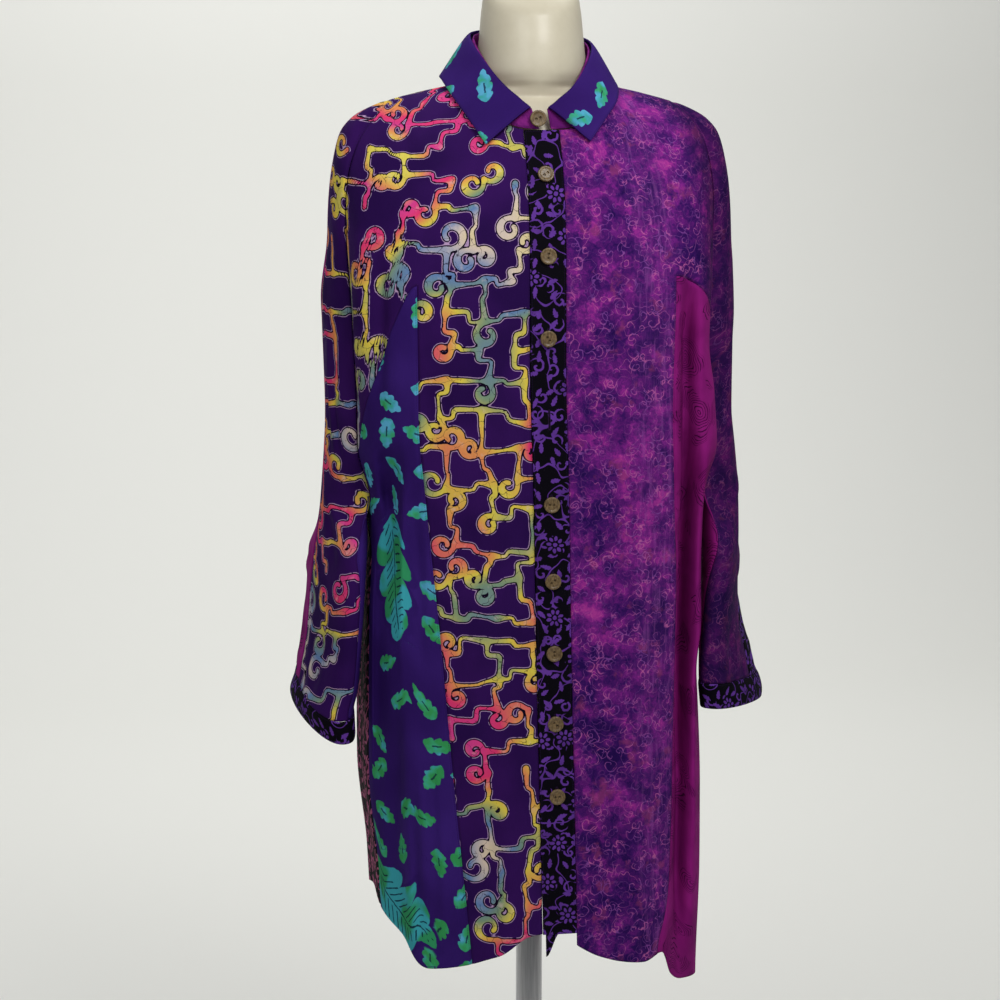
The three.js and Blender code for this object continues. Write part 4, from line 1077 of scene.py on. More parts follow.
# ---------------------------------------------------------------- the vine print's layout
class VineLattice:
    """Layout of a lattice of vines with curled ends, in the cloth's flat coordinates.

    Knots stand on a jittered grid, neighbours are joined by stepped stems, and where a stem is left
    out the knot may end in a hook. A stem's half-width flares at its knots.
    """

    column_step = 37.0
    row_step = 33.0
    jitter = 8.5
    across_share = 0.47  # share of the stems across that are drawn, and of those up, by turns
    up_shares = (0.8, 0.3)
    hook_share = 0.52  # share of the loose ends that try to grow a hook
    hook_tries = 16
    hook_radii = (7.6, 12.6)
    hook_arms = (2.0, 9.0)
    hook_room = 1.4
    blend = 0.45
    far = 12.0

    def __init__(self, seed: int, width: float, low: float, high: float) -> None:
        """Args:
        seed: seed of the layout.
        width: extent of the layout across the cloth.
        low: lowest height.
        high: greatest height.
        """
        self.rng = np.random.default_rng(seed)
        self.starts: list[Array] = []
        self.ends: list[Array] = []
        self.halves: list[Array] = []
        columns = int(width / self.column_step) + 2
        rows = int((high - low) / self.row_step) + 2
        grid = np.stack(np.meshgrid(np.arange(columns), np.arange(rows), indexing="ij"), axis=-1)
        knots = grid * np.array([self.column_step, self.row_step]) + np.array([-10.0, low - 10.0])
        knots = knots + self.rng.uniform(-self.jitter, self.jitter, knots.shape)
        brick = (grid.sum(axis=-1) % 2) == 0
        keep_across = self.rng.random((columns, rows)) < self.across_share
        keep_up = self.rng.random((columns, rows)) < np.where(brick, *self.up_shares)
        ends: list[tuple[Array, Array]] = []
        for c in range(columns):
            for r in range(rows):
                ends += self.knot(knots, c, r, keep_across, keep_up)
        for knot, towards in ends:
            if self.rng.random() < self.hook_share:
                self.hook(knot, towards)
        self.a = np.concatenate(self.starts)
        self.b = np.concatenate(self.ends)
        self.h = np.concatenate(self.halves)

    def knot(self, knots: Array, c: int, r: int, across: Array, up: Array) -> list[tuple[Array, Array]]:
        """Draws the stems that leave one knot towards greater columns and rows.

        Args:
            knots: places of all knots.
            c: the knot's column.
            r: the knot's row.
            across: which knots have a stem to the next column.
            up: which knots have a stem to the next row.

        Returns:
            Knots and directions in which a stem is left out.
        """
        here = knots[c, r]
        columns, rows = knots.shape[:2]
        ends = []
        if c + 1 < columns:
            if across[c, r]:
                self.stem(here, knots[c + 1, r], 0)
            else:
                ends.append((here, knots[c + 1, r] - here))
                ends.append((knots[c + 1, r], here - knots[c + 1, r]))
        if r + 1 < rows:
            if up[c, r]:
                self.stem(here, knots[c, r + 1], 1)
            else:
                ends.append((knots[c, r + 1], here - knots[c, r + 1]))
        return ends

    def add(self, points: Array, halves: Array) -> None:
        """Adds a chain of short straight pieces.

        Args:
            points: the chain.
            halves: its half-width at each point.
        """
        self.starts.append(points[:-1])
        self.ends.append(points[1:])
        self.halves.append((halves[:-1] + halves[1:]) / 2.0)

    def stem(self, a: Array, b: Array, axis: int) -> None:
        """A stem that runs along one axis, steps across and runs on, with its corners rounded.

        Half-width = 1.5 + 0.5 sin + 1.9 |2t - 1|^7, so it widens at its knots.

        Args:
            a: the knot where it starts.
            b: the knot where it ends.
            axis: 0 across, 1 up.
        """
        step = b - a
        share = self.rng.uniform(0.3, 0.7)
        corner = a.copy()
        corner[axis] += step[axis] * share
        other = b.copy()
        other[axis] = corner[axis]
        jog = np.zeros(2)
        jog[1 - axis] = self.rng.choice([-1.0, 1.0]) * self.rng.uniform(0.0, 5.0)
        corners = np.stack([a, corner + jog, other - jog * 0.4, b])
        legs = np.concatenate([[0.0], np.cumsum(np.linalg.norm(np.diff(corners, axis=0), axis=1))])
        t = np.linspace(0, 1, 15)
        place = t * legs[-1]
        points = np.stack([np.interp(place, legs, corners[:, k]) for k in range(2)], axis=1)
        points[1:-1] = 0.25 * points[:-2] + 0.5 * points[1:-1] + 0.25 * points[2:]
        swell = 0.5 * np.sin(t * self.rng.uniform(3.0, 9.0) + self.rng.uniform(0.0, 6.0))
        self.add(points, 1.5 + swell + 1.9 * np.abs(2 * t - 1) ** 7)

    def hook(self, knot: Array, towards: Array) -> None:
        """An arm that runs out and hooks round most of a turn, broadest on its bow.

        The first of a few random hooks that has room is drawn: one whose middle is farther from
        every other vine than its own radius.

        Args:
            knot: where the arm leaves a stem.
            towards: the way that it leaves.
        """
        middles = (np.concatenate(self.starts) + np.concatenate(self.ends)) / 2.0
        for _ in range(self.hook_tries):
            heading = math.atan2(towards[1], towards[0]) + self.rng.uniform(-0.8, 0.8)
            hand = self.rng.choice([-1.0, 1.0])
            outer = self.rng.uniform(*self.hook_radii)
            reach = self.rng.uniform(*self.hook_arms)
            forward = np.array([math.cos(heading), math.sin(heading)])
            normal = np.array([-forward[1], forward[0]]) * hand
            centre = knot + forward * reach + normal * outer
            if np.linalg.norm(middles - centre, axis=1).min() > outer + self.hook_room:
                self.draw_hook(knot, centre, forward, normal, outer)
                return

    def draw_hook(self, knot: Array, centre: Array, forward: Array, normal: Array, outer: float) -> None:
        """Draws a hook, outer x (1 - 0.6 t^1.3) from its middle.

        Its half-width is 1.5 + 1.7 exp(-((t - 0.36) / 0.26)^2), and 0.5 more at its tip.

        Args:
            knot: where its arm starts.
            centre: middle of its turn.
            forward: the arm's direction.
            normal: from the arm towards the middle.
            outer: its radius at the start.
        """
        t = np.linspace(0, 1, 25)
        turn = t * self.rng.uniform(0.78, 0.98) * TURN
        radius = outer * (1.0 - 0.6 * t**1.3)
        ring = forward[None] * np.sin(turn)[:, None] - normal[None] * np.cos(turn)[:, None]
        points = np.concatenate([[knot], centre + ring * radius[:, None]])
        bow = 1.5 + 1.7 * np.exp(-(((t - 0.36) / 0.26) ** 2)) + 0.5 * (t > 0.95)
        self.add(points, np.concatenate([[2.6], bow]))

    def edge(self, flat: Array) -> Array:
        """Distance from each point to the edge of the nearest vine, in mm, negative inside.

        The pieces' distances d are joined softly as -k log(sum(exp(-d / k))).

        Args:
            flat: flat coordinates of the points.

        Returns:
            The distances.
        """
        points = flat.reshape(-1, 2)
        result = np.full(len(points), self.far)
        low, high = points[:, 1].min(), points[:, 1].max()
        band = 18.0
        for start in np.arange(low, high + band, band):
            here = np.nonzero((points[:, 1] >= start) & (points[:, 1] < start + band))[0]
            near = np.abs((self.a[:, 1] + self.b[:, 1]) / 2.0 - start - band / 2.0) < band / 2.0 + 16.0
            if not len(here) or not near.any():
                continue
            a, b, h = self.a[near], self.b[near], self.h[near]
            step = b - a
            span = (step**2).sum(axis=1)
            away = points[here][:, None] - a[None]
            t = np.clip((away * step[None]).sum(axis=2) / span, 0.0, 1.0)
            distance = np.linalg.norm(away - t[..., None] * step[None], axis=2) - h[None]
            least = distance.min(axis=1)
            total = np.exp(-(distance - least[:, None]) / self.blend).sum(axis=1)
            result[here] = least - self.blend * np.log(total)
        return np.minimum(result, self.far).reshape(flat.shape[:-1])


# ---------------------------------------------------------------- shader nodes as sums
class Field:
    """A number that varies over the surface: a shader socket that can be added and multiplied."""

    def __init__(self, sheet: "Nodes", socket: bpy.types.NodeSocket) -> None:
        """Args:
        sheet: the nodes that it belongs to.
        socket: the socket that gives it.
        """
        self.sheet = sheet
        self.socket = socket

    def _math(self, operation: str, *others: "Field | float") -> "Field":
        """Result of a Math node."""
        return self.sheet.math(operation, self, *others)

    def __add__(self, other: "Field | float") -> "Field":
        """Sum."""
        return self._math("ADD", other)

    __radd__ = __add__

    def __sub__(self, other: "Field | float") -> "Field":
        """Difference."""
        return self._math("SUBTRACT", other)

    def __rsub__(self, other: float) -> "Field":
        """Difference from a number."""
        return self.sheet.math("SUBTRACT", other, self)

    def __mul__(self, other: "Field | float") -> "Field":
        """Product."""
        return self._math("MULTIPLY", other)

    __rmul__ = __mul__

    def __truediv__(self, other: "Field | float") -> "Field":
        """Quotient."""
        return self._math("DIVIDE", other)

    def size(self) -> "Field":
        """Absolute value."""
        return self._math("ABSOLUTE")

    def power(self, other: float) -> "Field":
        """Power."""
        return self._math("POWER", other)

    def root(self) -> "Field":
        """Square root."""
        return self._math("SQRT")

    def sine(self) -> "Field":
        """Sine."""
        return self._math("SINE")

    def cosine(self) -> "Field":
        """Cosine."""
        return self._math("COSINE")

    def part(self) -> "Field":
        """Fraction."""
        return self._math("FRACT")

    def least(self, other: "Field | float") -> "Field":
        """Smaller of two."""
        return self._math("MINIMUM", other)

    def most(self, other: "Field | float") -> "Field":
        """Greater of two."""
        return self._math("MAXIMUM", other)

    def rise(self, low: float, high: float) -> "Field":
        """Smooth step from 0 at low to 1 at high.

        Args:
            low: where it is 0.
            high: where it is 1.

        Returns:
            The field.
        """
        node = self.sheet.new("ShaderNodeMapRange", interpolation_type="SMOOTHSTEP")
        self.sheet.fill(node, **{"Value": self, "From Min": low, "From Max": high})
        return Field(self.sheet, node.outputs["Result"])

    def fall(self, low: float, high: float) -> "Field":
        """Smooth step from 1 at low to 0 at high."""
        return 1.0 - self.rise(low, high)


Colour = tuple[float, float, float]


def srgb(red: float, green: float, blue: float) -> Colour:
    """Linear colour of an 8-bit screen colour: ((c + 0.055) / 1.055)^2.4."""
    parts = [value / 255.0 for value in (red, green, blue)]
    return tuple(p / 12.92 if p <= 0.04045 else ((p + 0.055) / 1.055) ** 2.4 for p in parts)


class Nodes:
    """Short calls for making and joining the nodes of one tree."""

    def __init__(self, tree: bpy.types.NodeTree) -> None:
        """Args:
        tree: the node tree that is filled.
        """
        self.tree = tree

    def new(self, kind: str, **settings: object) -> bpy.types.Node:
        """Adds a node and sets its options.

        Args:
            kind: the node's type.
            settings: its options.

        Returns:
            The node.
        """
        node = self.tree.nodes.new(kind)
        for key, value in settings.items():
            setattr(node, key, value)
        return node

    def feed(self, socket: bpy.types.NodeSocket, value: object) -> None:
        """Links a field or socket to an input, or sets its number or colour.

        Args:
            socket: the input.
            value: what goes in.
        """
        source = value.socket if isinstance(value, Field) else value
        if isinstance(source, bpy.types.NodeSocket):
            self.tree.links.new(source, socket)
        elif isinstance(source, tuple) and socket.type == "RGBA":
            socket.default_value = (*source, 1.0)
        else:
            socket.default_value = source

    def fill(self, node: bpy.types.Node, **values: object) -> None:
        """Feeds several inputs of a node by name."""
        for key, value in values.items():
            self.feed(node.inputs[key], value)

    def parts(self, vector: object) -> dict[str, Field]:
        """The X and Y of a vector.

        Args:
            vector: a field or socket.

        Returns:
            Its two fields.
        """
        node = self.new("ShaderNodeSeparateXYZ")
        self.feed(node.inputs[0], vector)
        return {key: Field(self, node.outputs[key]) for key in ("X", "Y")}

    def math(self, operation: str, *values: "Field | float") -> Field:
        """Math node.

        Args:
            operation: the node's operation.
            values: what goes in.

        Returns:
            The result.
        """
        node = self.new("ShaderNodeMath", operation=operation)
        for index, value in enumerate(values):
            self.feed(node.inputs[index], value)
        return Field(self, node.outputs[0])

    def place(self, scale: float, shift: tuple[float, float, float] = (0.0, 0.0, 0.0),
              upright: float = 1.0) -> Field:
        """The cloth's flat coordinates in millimetres, divided by a scale and shifted.

        Args:
            scale: millimetres that become one.
            shift: what is added.
            upright: factor on the height, below 1 for a pattern drawn out upwards.

        Returns:
            The coordinates.
        """
        source = self.new("ShaderNodeUVMap", uv_map="cloth")
        node = self.new("ShaderNodeMapping")
        times = 1.0 / (MM * scale)
        self.fill(node, Vector=source.outputs["UV"], Scale=(times, upright * times, times), Location=shift)
        return Field(self, node.outputs["Vector"])

    def spot(self) -> dict[str, Field]:
        """The cloth's flat coordinates in millimetres, as X and Y."""
        return self.parts(self.place(1.0))

    def attribute(self, name: str) -> Field:
        """A number kept on the mesh."""
        return Field(self, self.new("ShaderNodeAttribute", attribute_name=name).outputs["Fac"])

    def noise(self, where: Field, detail: float, rough: float) -> Field:
        """Cloudy noise from 0 to 1 about 0.5.

        Args:
            where: coordinates.
            detail: how many finer layers it has.
            rough: how strong they are.

        Returns:
            The noise.
        """
        node = self.new("ShaderNodeTexNoise", noise_dimensions="2D")
        self.fill(node, Vector=where, Scale=1.0, Detail=detail, Roughness=rough)
        return Field(self, node.outputs["Fac"])

    def cloud(self, size: float, detail: float, rough: float,
              shift: tuple[float, float, float] = (0.0, 0.0, 0.0), upright: float = 1.0) -> Field:
        """Noise over the flat cloth, its clouds about size millimetres across."""
        return self.noise(self.place(size, shift, upright), detail, rough)

    def wobbled(self, where: Field, amount: float, scale: float) -> Field:
        """Coordinates pushed about by noise, for a hand-drawn line.

        Args:
            where: coordinates.
            amount: how far they are pushed.
            scale: fineness of the noise.

        Returns:
            The new coordinates.
        """
        node = self.new("ShaderNodeTexNoise", noise_dimensions="2D")
        self.fill(node, Vector=where, Scale=scale)
        centre = self.new("ShaderNodeVectorMath", operation="SUBTRACT")
        push = self.new("ShaderNodeVectorMath", operation="MULTIPLY_ADD")
        for socket, value in (
            (centre.inputs[0], node.outputs["Color"]), (centre.inputs[1], (0.5, 0.5, 0.5)),
            (push.inputs[0], centre.outputs[0]), (push.inputs[1], (amount, amount, 0.0)),
            (push.inputs[2], where),
        ):
            self.feed(socket, value)
        return Field(self, push.outputs[0])

    def ramp(self, value: Field, stops: Sequence[tuple[float, Colour]]) -> bpy.types.NodeSocket:
        """Colours along a value.

        Args:
            value: the field.
            stops: places and colours.

        Returns:
            The colour.
        """
        node = self.new("ShaderNodeValToRGB")
        ramp = node.color_ramp
        while len(ramp.elements) < len(stops):
            ramp.elements.new(0.5)
        for element, (place, colour) in zip(ramp.elements, stops):
            element.position = place
            element.color = (*colour, 1.0)
        self.feed(node.inputs["Fac"], value)
        return node.outputs["Color"]

    def blend(self, factor: "Field | float", first: object, second: object,
              way: str = "MIX") -> bpy.types.NodeSocket:
        """Mixes two colours.

        Args:
            factor: share of the second.
            first: a colour.
            second: a colour.
            way: the node's blend type.

        Returns:
            The colour.
        """
        node = self.new("ShaderNodeMix", data_type="RGBA", blend_type=way)
        self.feed(node.inputs[0], factor)
        self.feed(node.inputs[6], first)
        self.feed(node.inputs[7], second)
        return node.outputs[2]

    def group(self, tree: bpy.types.NodeTree, **values: object) -> dict[str, Field]:
        """Places a node group and returns its outputs by name.

        Args:
            tree: the group.
            values: its inputs.

        Returns:
            Its outputs.
        """
        node = self.new("ShaderNodeGroup", node_tree=tree)
        self.fill(node, **values)
        return {socket.name: Field(self, socket) for socket in node.outputs}


class Effects:
    """Node groups that several finishes share, each built once."""

    def __init__(self) -> None:
        """Builds every group."""
        self.motif = self.make("cell_motif", ["Vector"], ["Cell", "Order"], ["X", "Y", "Radius", "Chance"],
                               self._motif)
        self.spiral = self.make("spirals", ["Vector"], ["Cell", "Order", "Pitch", "Reach"], ["Distance"],
                                self._spiral)
        self.daisy = self.make("daisies", ["Vector"], ["Cell"], ["Distance"], self._daisy)
        self.leaf = self.make("leaves", ["Vector"], ["Cell", "Length", "Width"],
                              ["Distance", "Vein", "Chance"], self._leaf)
        self.big_leaf = self.make("veined_leaf", [], ["X", "Y", "Length", "Width"], ["Distance", "Vein"],
                                  self._big_leaf)
        self.weave = self.make("weave", ["Vector"], ["Pitch"], ["Height", "Shade"], self._weave)
        self.stitch = self.make("stitches", ["Vector"], ["Seam", "Offset"], ["Thread", "Height"],
                                self._stitch)

    def make(self, name: str, vectors: Sequence[str], numbers: Sequence[str], outputs: Sequence[str],
             fill: Callable[[Nodes, dict[str, Field]], dict[str, Field]]) -> bpy.types.NodeTree:
        """Builds a group: its sockets, then what fill makes of its inputs.

        Args:
            name: the group's name.
            vectors: names of vector inputs.
            numbers: names of number inputs.
            outputs: names of number outputs.
            fill: function that makes the nodes and returns the outputs.

        Returns:
            The node tree.
        """
        tree = bpy.data.node_groups.new(name, "ShaderNodeTree")
        for key in vectors:
            tree.interface.new_socket(name=key, in_out="INPUT", socket_type="NodeSocketVector")
        for key in numbers:
            tree.interface.new_socket(name=key, in_out="INPUT", socket_type="NodeSocketFloat")
        for key in outputs:
            tree.interface.new_socket(name=key, in_out="OUTPUT", socket_type="NodeSocketFloat")
        sheet = Nodes(tree)
        entry = sheet.new("NodeGroupInput")
        result = fill(sheet, {socket.name: Field(sheet, socket) for socket in entry.outputs if socket.name})
        leave = sheet.new("NodeGroupOutput")
        for key in outputs:
            sheet.feed(leave.inputs[key], result[key])
        return tree

    def _motif(self, sheet: Nodes, given: dict[str, Field]) -> dict[str, Field]:
        """Turned coordinates round the nearest of scattered points, in millimetres.

        Args:
            sheet: the group's nodes.
            given: its inputs.

        Returns:
            Its outputs.
        """
        scaled = sheet.new("ShaderNodeVectorMath", operation="DIVIDE")
        sheet.feed(scaled.inputs[0], given["Vector"])
        cell = sheet.new("ShaderNodeCombineXYZ")
        sheet.fill(cell, X=given["Cell"], Y=given["Cell"], Z=given["Cell"])
        sheet.feed(scaled.inputs[1], cell.outputs[0])
        cells = sheet.new("ShaderNodeTexVoronoi", voronoi_dimensions="2D", feature="F1")
        sheet.fill(cells, Vector=scaled.outputs[0], Scale=1.0, Randomness=given["Order"])
        away = sheet.new("ShaderNodeVectorMath", operation="SUBTRACT")
        sheet.feed(away.inputs[0], scaled.outputs[0])
        sheet.feed(away.inputs[1], cells.outputs["Position"])
        parts = sheet.parts(away.outputs[0])
        x, y = parts["X"] * given["Cell"], parts["Y"] * given["Cell"]
        tint = sheet.new("ShaderNodeSeparateColor")
        sheet.feed(tint.inputs[0], cells.outputs["Color"])
        turn = Field(sheet, tint.outputs["Red"]) * TURN
        cosine, sine = turn.cosine(), turn.sine()
        return {
            "X": x * cosine + y * sine,
            "Y": y * cosine - x * sine,
            "Radius": (x * x + y * y).root(),
            "Chance": Field(sheet, tint.outputs["Green"]),
        }

    def _spiral(self, sheet: Nodes, given: dict[str, Field]) -> dict[str, Field]:
        """Distance to a spiral round each scattered point: |fraction(r/p - angle/2pi) - 1/2| p.

        Args:
            sheet: the group's nodes.
            given: its inputs.

        Returns:
            Its output.
        """
        at = sheet.group(self.motif, Vector=given["Vector"], Cell=given["Cell"], Order=given["Order"])
        hand = (at["Chance"] * 7.0).part().rise(0.49, 0.51) * 2.0 - 1.0
        angle = sheet.math("ARCTAN2", at["Y"], at["X"]) / TURN
        phase = (at["Radius"] / given["Pitch"] - angle * hand).part()
        line = (phase - 0.5).size() * given["Pitch"]
        outside = (at["Radius"] - given["Reach"] * (at["Chance"] * 0.5 + 0.6)).most(0.0)
        return {"Distance": (line * line + outside * outside * 4.0).root()}

    def _daisy(self, sheet: Nodes, given: dict[str, Field]) -> dict[str, Field]:
        """Distance to the edge of a daisy: eight oval petals round a dot, on some of the points.

        Args:
            sheet: the group's nodes.
            given: its inputs.

        Returns:
            Its output.
        """
        at = sheet.group(self.motif, Vector=given["Vector"], Cell=given["Cell"], Order=0.7)
        angle = sheet.math("ARCTAN2", at["Y"], at["X"]) * (8.0 / TURN)
        turned = ((angle + 0.5).part() - 0.5) * (TURN / 8.0)
        along = (at["Radius"] * turned.cosine() - 6.2) / 2.4
        aside = at["Radius"] * turned.sine() / 1.55
        petal = ((along * along + aside * aside).root() - 1.0) * 1.6
        dot = at["Radius"] - 2.1
        absent = at["Chance"].rise(0.55, 0.56) * 30.0
        return {"Distance": petal.least(dot) + absent}

    def _leaf(self, sheet: Nodes, given: dict[str, Field]) -> dict[str, Field]:
        """A pointed, lobed leaf on each scattered point, with a short dark slit along its middle.

        Args:
            sheet: the group's nodes.
            given: its inputs.

        Returns:
            Its outputs.
        """
        at = sheet.group(self.motif, Vector=given["Vector"], Cell=given["Cell"], Order=0.55)
        half = given["Length"] * (at["Chance"] * 0.16 + 0.42)
        x = at["X"] / half
        belly = (1.0 - x).most(0.0).power(0.6) * (x + 1.0).most(0.0).power(0.8)
        lobes = ((x * 1.8 + (at["Y"] / half).size() * 1.1) * math.pi).sine().size() * 0.34 + 0.72
        edge = at["Y"].size() - given["Width"] * belly * lobes
        ends = (x.size() - 1.0) * half
        vein = (at["Y"].size() - 0.75).most(((x - 0.1).size() - 0.3) * half)
        return {"Distance": edge.most(ends), "Vein": vein, "Chance": at["Chance"]}

    def _big_leaf(self, sheet: Nodes, given: dict[str, Field]) -> dict[str, Field]:
        """A broad leaf of rounded lobes about (X, Y) = 0, pointed at its tip, with slit side veins.

        Args:
            sheet: the group's nodes.
            given: its inputs.

        Returns:
            Its outputs.
        """
        x = given["X"] / given["Length"]
        aside = given["Y"].size()
        belly = (1.0 - x).most(0.0).power(0.7) * (x + 1.0).most(0.0).power(0.35)
        lobes = ((given["X"] - aside * 0.55) * (math.pi / 33.0)).sine().size().power(0.6) * 0.46 + 0.54
        edge = aside - given["Width"] * belly * lobes
        side_vein = (((given["X"] - aside * 0.8) / 8.4).part() - 0.5).size() * 8.4 - 0.85
        branch = side_vein.most(3.2 - aside).most(aside - given["Width"] * belly * 0.52)
        midrib = (aside - 0.7).most((x.size() - 0.8) * given["Length"])
        return {"Distance": edge.most((x.size() - 1.0) * given["Length"]), "Vein": branch.least(midrib)}

    def _weave(self, sheet: Nodes, given: dict[str, Field]) -> dict[str, Field]:
        """Crossing threads: the product of two sines, and slubs along the threads.

        Args:
            sheet: the group's nodes.
            given: its inputs.

        Returns:
            Its outputs.
        """
        parts = sheet.parts(given["Vector"])
        across = (parts["X"] / given["Pitch"] * TURN).sine()
        along = (parts["Y"] / given["Pitch"] * TURN).sine()
        stretched = sheet.new("ShaderNodeMapping")
        sheet.fill(stretched, Vector=given["Vector"], Scale=(1.1, 0.09, 1.0))
        slub = sheet.noise(Field(sheet, stretched.outputs[0]), 3.0, 0.6)
        return {"Height": across * along * 0.35 + slub, "Shade": slub}

    def _stitch(self, sheet: Nodes, given: dict[str, Field]) -> dict[str, Field]:
        """A row of stitches at an offset from the seam, 2.4 mm apart and 1.6 mm long.

        Args:
            sheet: the group's nodes.
            given: its inputs.

        Returns:
            Its outputs.
        """
        parts = sheet.parts(given["Vector"])
        run = parts["X"] + parts["Y"]
        row = (given["Seam"] - given["Offset"]).size()
        dash = ((run / STITCH_STEP).part() - 0.5).size().fall(0.26, 0.38)
        thread = row.fall(0.2, 0.42) * dash
        groove = row.fall(0.0, 1.6)
        return {"Thread": thread, "Height": thread * 0.6 - groove}


# ---------------------------------------------------------------- finishes
class Print(Enum):
    """The dress's cloths, by material slot."""

    LATTICE = "lattice_print"
    LEAF = "leaf_print"
    SCROLL = "scroll_print"
    CONTOUR = "contour_print"
    BLACK_FLORAL = "black_floral_print"
    BLACK_PINK = "black_pink_print"
    STAND = "stand_cloth"


@dataclass(frozen=True)
class ClothFinish:
    """Woven cloth with a print: its look is chosen by its kind, and it may have a row of stitches."""

    print: Print
    stitch_offset: float = 1.6
    stitched: float = 0.5
    roughness: float = 0.8

    def material(self, effects: Effects) -> bpy.types.Material:
        """Makes the material: printed colour, weave, stitches and bump on one shader.

        Args:
            effects: the shared groups.

        Returns:
            The material.
        """
        made = bpy.data.materials.new(self.print.value)
        made.use_nodes = True
        tree = made.node_tree
        shader = tree.nodes["Principled BSDF"]
        sheet = Nodes(tree)
        painters = {
            Print.LATTICE: self._lattice,
            Print.LEAF: self._leaves,
            Print.SCROLL: self._scrolls,
            Print.CONTOUR: self._contours,
            Print.BLACK_FLORAL: self._floral,
            Print.BLACK_PINK: self._pink,
            Print.STAND: self._plain,
        }
        colour = painters[self.print](sheet, effects)
        where = sheet.place(1.0)
        weave = sheet.group(effects.weave, Vector=where, Pitch=0.55)
        seam = sheet.attribute("seam") * 1000.0
        stitch = sheet.group(effects.stitch, Vector=where, Seam=seam, Offset=self.stitch_offset)
        worn = sheet.cloud(34.0, 3.0, 0.55)
        shade = weave["Shade"] * 0.16 + worn * 0.14 + 0.85
        colour = sheet.blend(1.0, colour, self._grey(sheet, shade), "MULTIPLY")
        colour = sheet.blend(stitch["Thread"] * self.stitched, colour, self.thread())
        if self.print is Print.BLACK_FLORAL:
            hole = sheet.attribute("hole")
            rim = hole.fall(1.1, 1.5) * sheet.attribute("holes").rise(0.4, 0.6)
            colour = sheet.blend(rim * 0.85, colour, srgb(44, 26, 58))
            colour = sheet.blend(rim * hole.fall(0.3, 0.55), colour, srgb(4, 3, 6))
        sheet.feed(shader.inputs["Base Color"], colour)
        sheet.feed(shader.inputs["Roughness"], weave["Shade"] * 0.18 + (self.roughness - 0.09))
        shader.inputs["Specular IOR Level"].default_value = 0.05
        pucker = sheet.cloud(9.0, 2.0, 0.5) * seam.fall(0.0, 7.0)
        soft = sheet.cloud(26.0, 2.0, 0.45)
        hanging = sheet.cloud(12.0, 3.0, 0.55, upright=0.22)
        height = weave["Height"] * 0.05 + stitch["Height"] * 0.22 + pucker * 0.9 + soft * 0.9 + hanging * 0.8
        bump = sheet.new("ShaderNodeBump")
        sheet.fill(bump, Strength=0.55, Distance=MM, Height=height)
        sheet.feed(shader.inputs["Normal"], bump.outputs["Normal"])
        return made

    def thread(self) -> Colour:
        """Colour of the sewing thread."""
        dark = {Print.SCROLL: srgb(120, 50, 130), Print.CONTOUR: srgb(110, 24, 100)}
        return dark.get(self.print, srgb(40, 24, 62))

    @staticmethod
    def _grey(sheet: Nodes, value: Field) -> bpy.types.NodeSocket:
        """A grey of a value.

        Args:
            sheet: the material's nodes.
            value: the field.

        Returns:
            The colour.
        """
        node = sheet.new("ShaderNodeCombineColor")
        sheet.fill(node, Red=value, Green=value, Blue=value)
        return node.outputs[0]

    def _lattice(self, sheet: Nodes, effects: Effects) -> bpy.types.NodeSocket:
        """Rainbow vines with a black line and a pale outline on deep purple.

        Args:
            sheet: the material's nodes.
            effects: the shared groups; not used.

        Returns:
            The colour.
        """
        fine = sheet.cloud(2.4, 2.0, 0.6)
        edge = sheet.attribute("vine") + (fine - 0.5) * 0.5
        hue = sheet.cloud(150.0, 1.5, 0.55, (3.4, 1.3, 0.0))
        rainbow = sheet.ramp(hue * 1.7 - 0.35, [
            (0.0, srgb(232, 216, 96)), (0.14, srgb(228, 208, 190)), (0.26, srgb(104, 136, 186)),
            (0.36, srgb(134, 160, 128)), (0.46, srgb(236, 214, 84)), (0.56, srgb(240, 150, 92)),
            (0.66, srgb(238, 62, 118)), (0.8, srgb(226, 70, 150)), (0.9, srgb(240, 156, 96)),
            (1.0, srgb(236, 220, 96)),
        ])
        mottle = sheet.cloud(11.0, 3.0, 0.6)
        rainbow = sheet.blend(mottle.rise(0.55, 0.85) * 0.5, rainbow, srgb(238, 212, 200))
        crack = sheet.new("ShaderNodeTexVoronoi", voronoi_dimensions="2D", feature="DISTANCE_TO_EDGE")
        sheet.feed(crack.inputs["Vector"], sheet.wobbled(sheet.place(15.0), 0.35, 3.0))
        crack.inputs["Scale"].default_value = 1.0
        line = Field(sheet, crack.outputs["Distance"]).fall(0.006, 0.026) * mottle.rise(0.36, 0.5)
        rainbow = sheet.blend(line * 0.8, rainbow, srgb(34, 16, 44))
        depth = sheet.cloud(90.0, 2.0, 0.5)
        ground = sheet.blend(depth.rise(0.3, 0.7), srgb(42, 14, 76), srgb(56, 20, 92))
        broken = sheet.cloud(7.0, 2.0, 0.6, (9.0, 2.0, 0.0))
        pale = edge.rise(1.0, 1.25) * edge.fall(1.6, 2.0) * broken.rise(0.3, 0.42)
        colour = sheet.blend(pale * 0.9, ground, srgb(200, 166, 206))
        black = edge.rise(-0.15, 0.15) * edge.fall(1.0, 1.3)
        colour = sheet.blend(black * 0.95, colour, srgb(14, 6, 24))
        return sheet.blend(edge.fall(-0.2, 0.15), colour, rainbow)

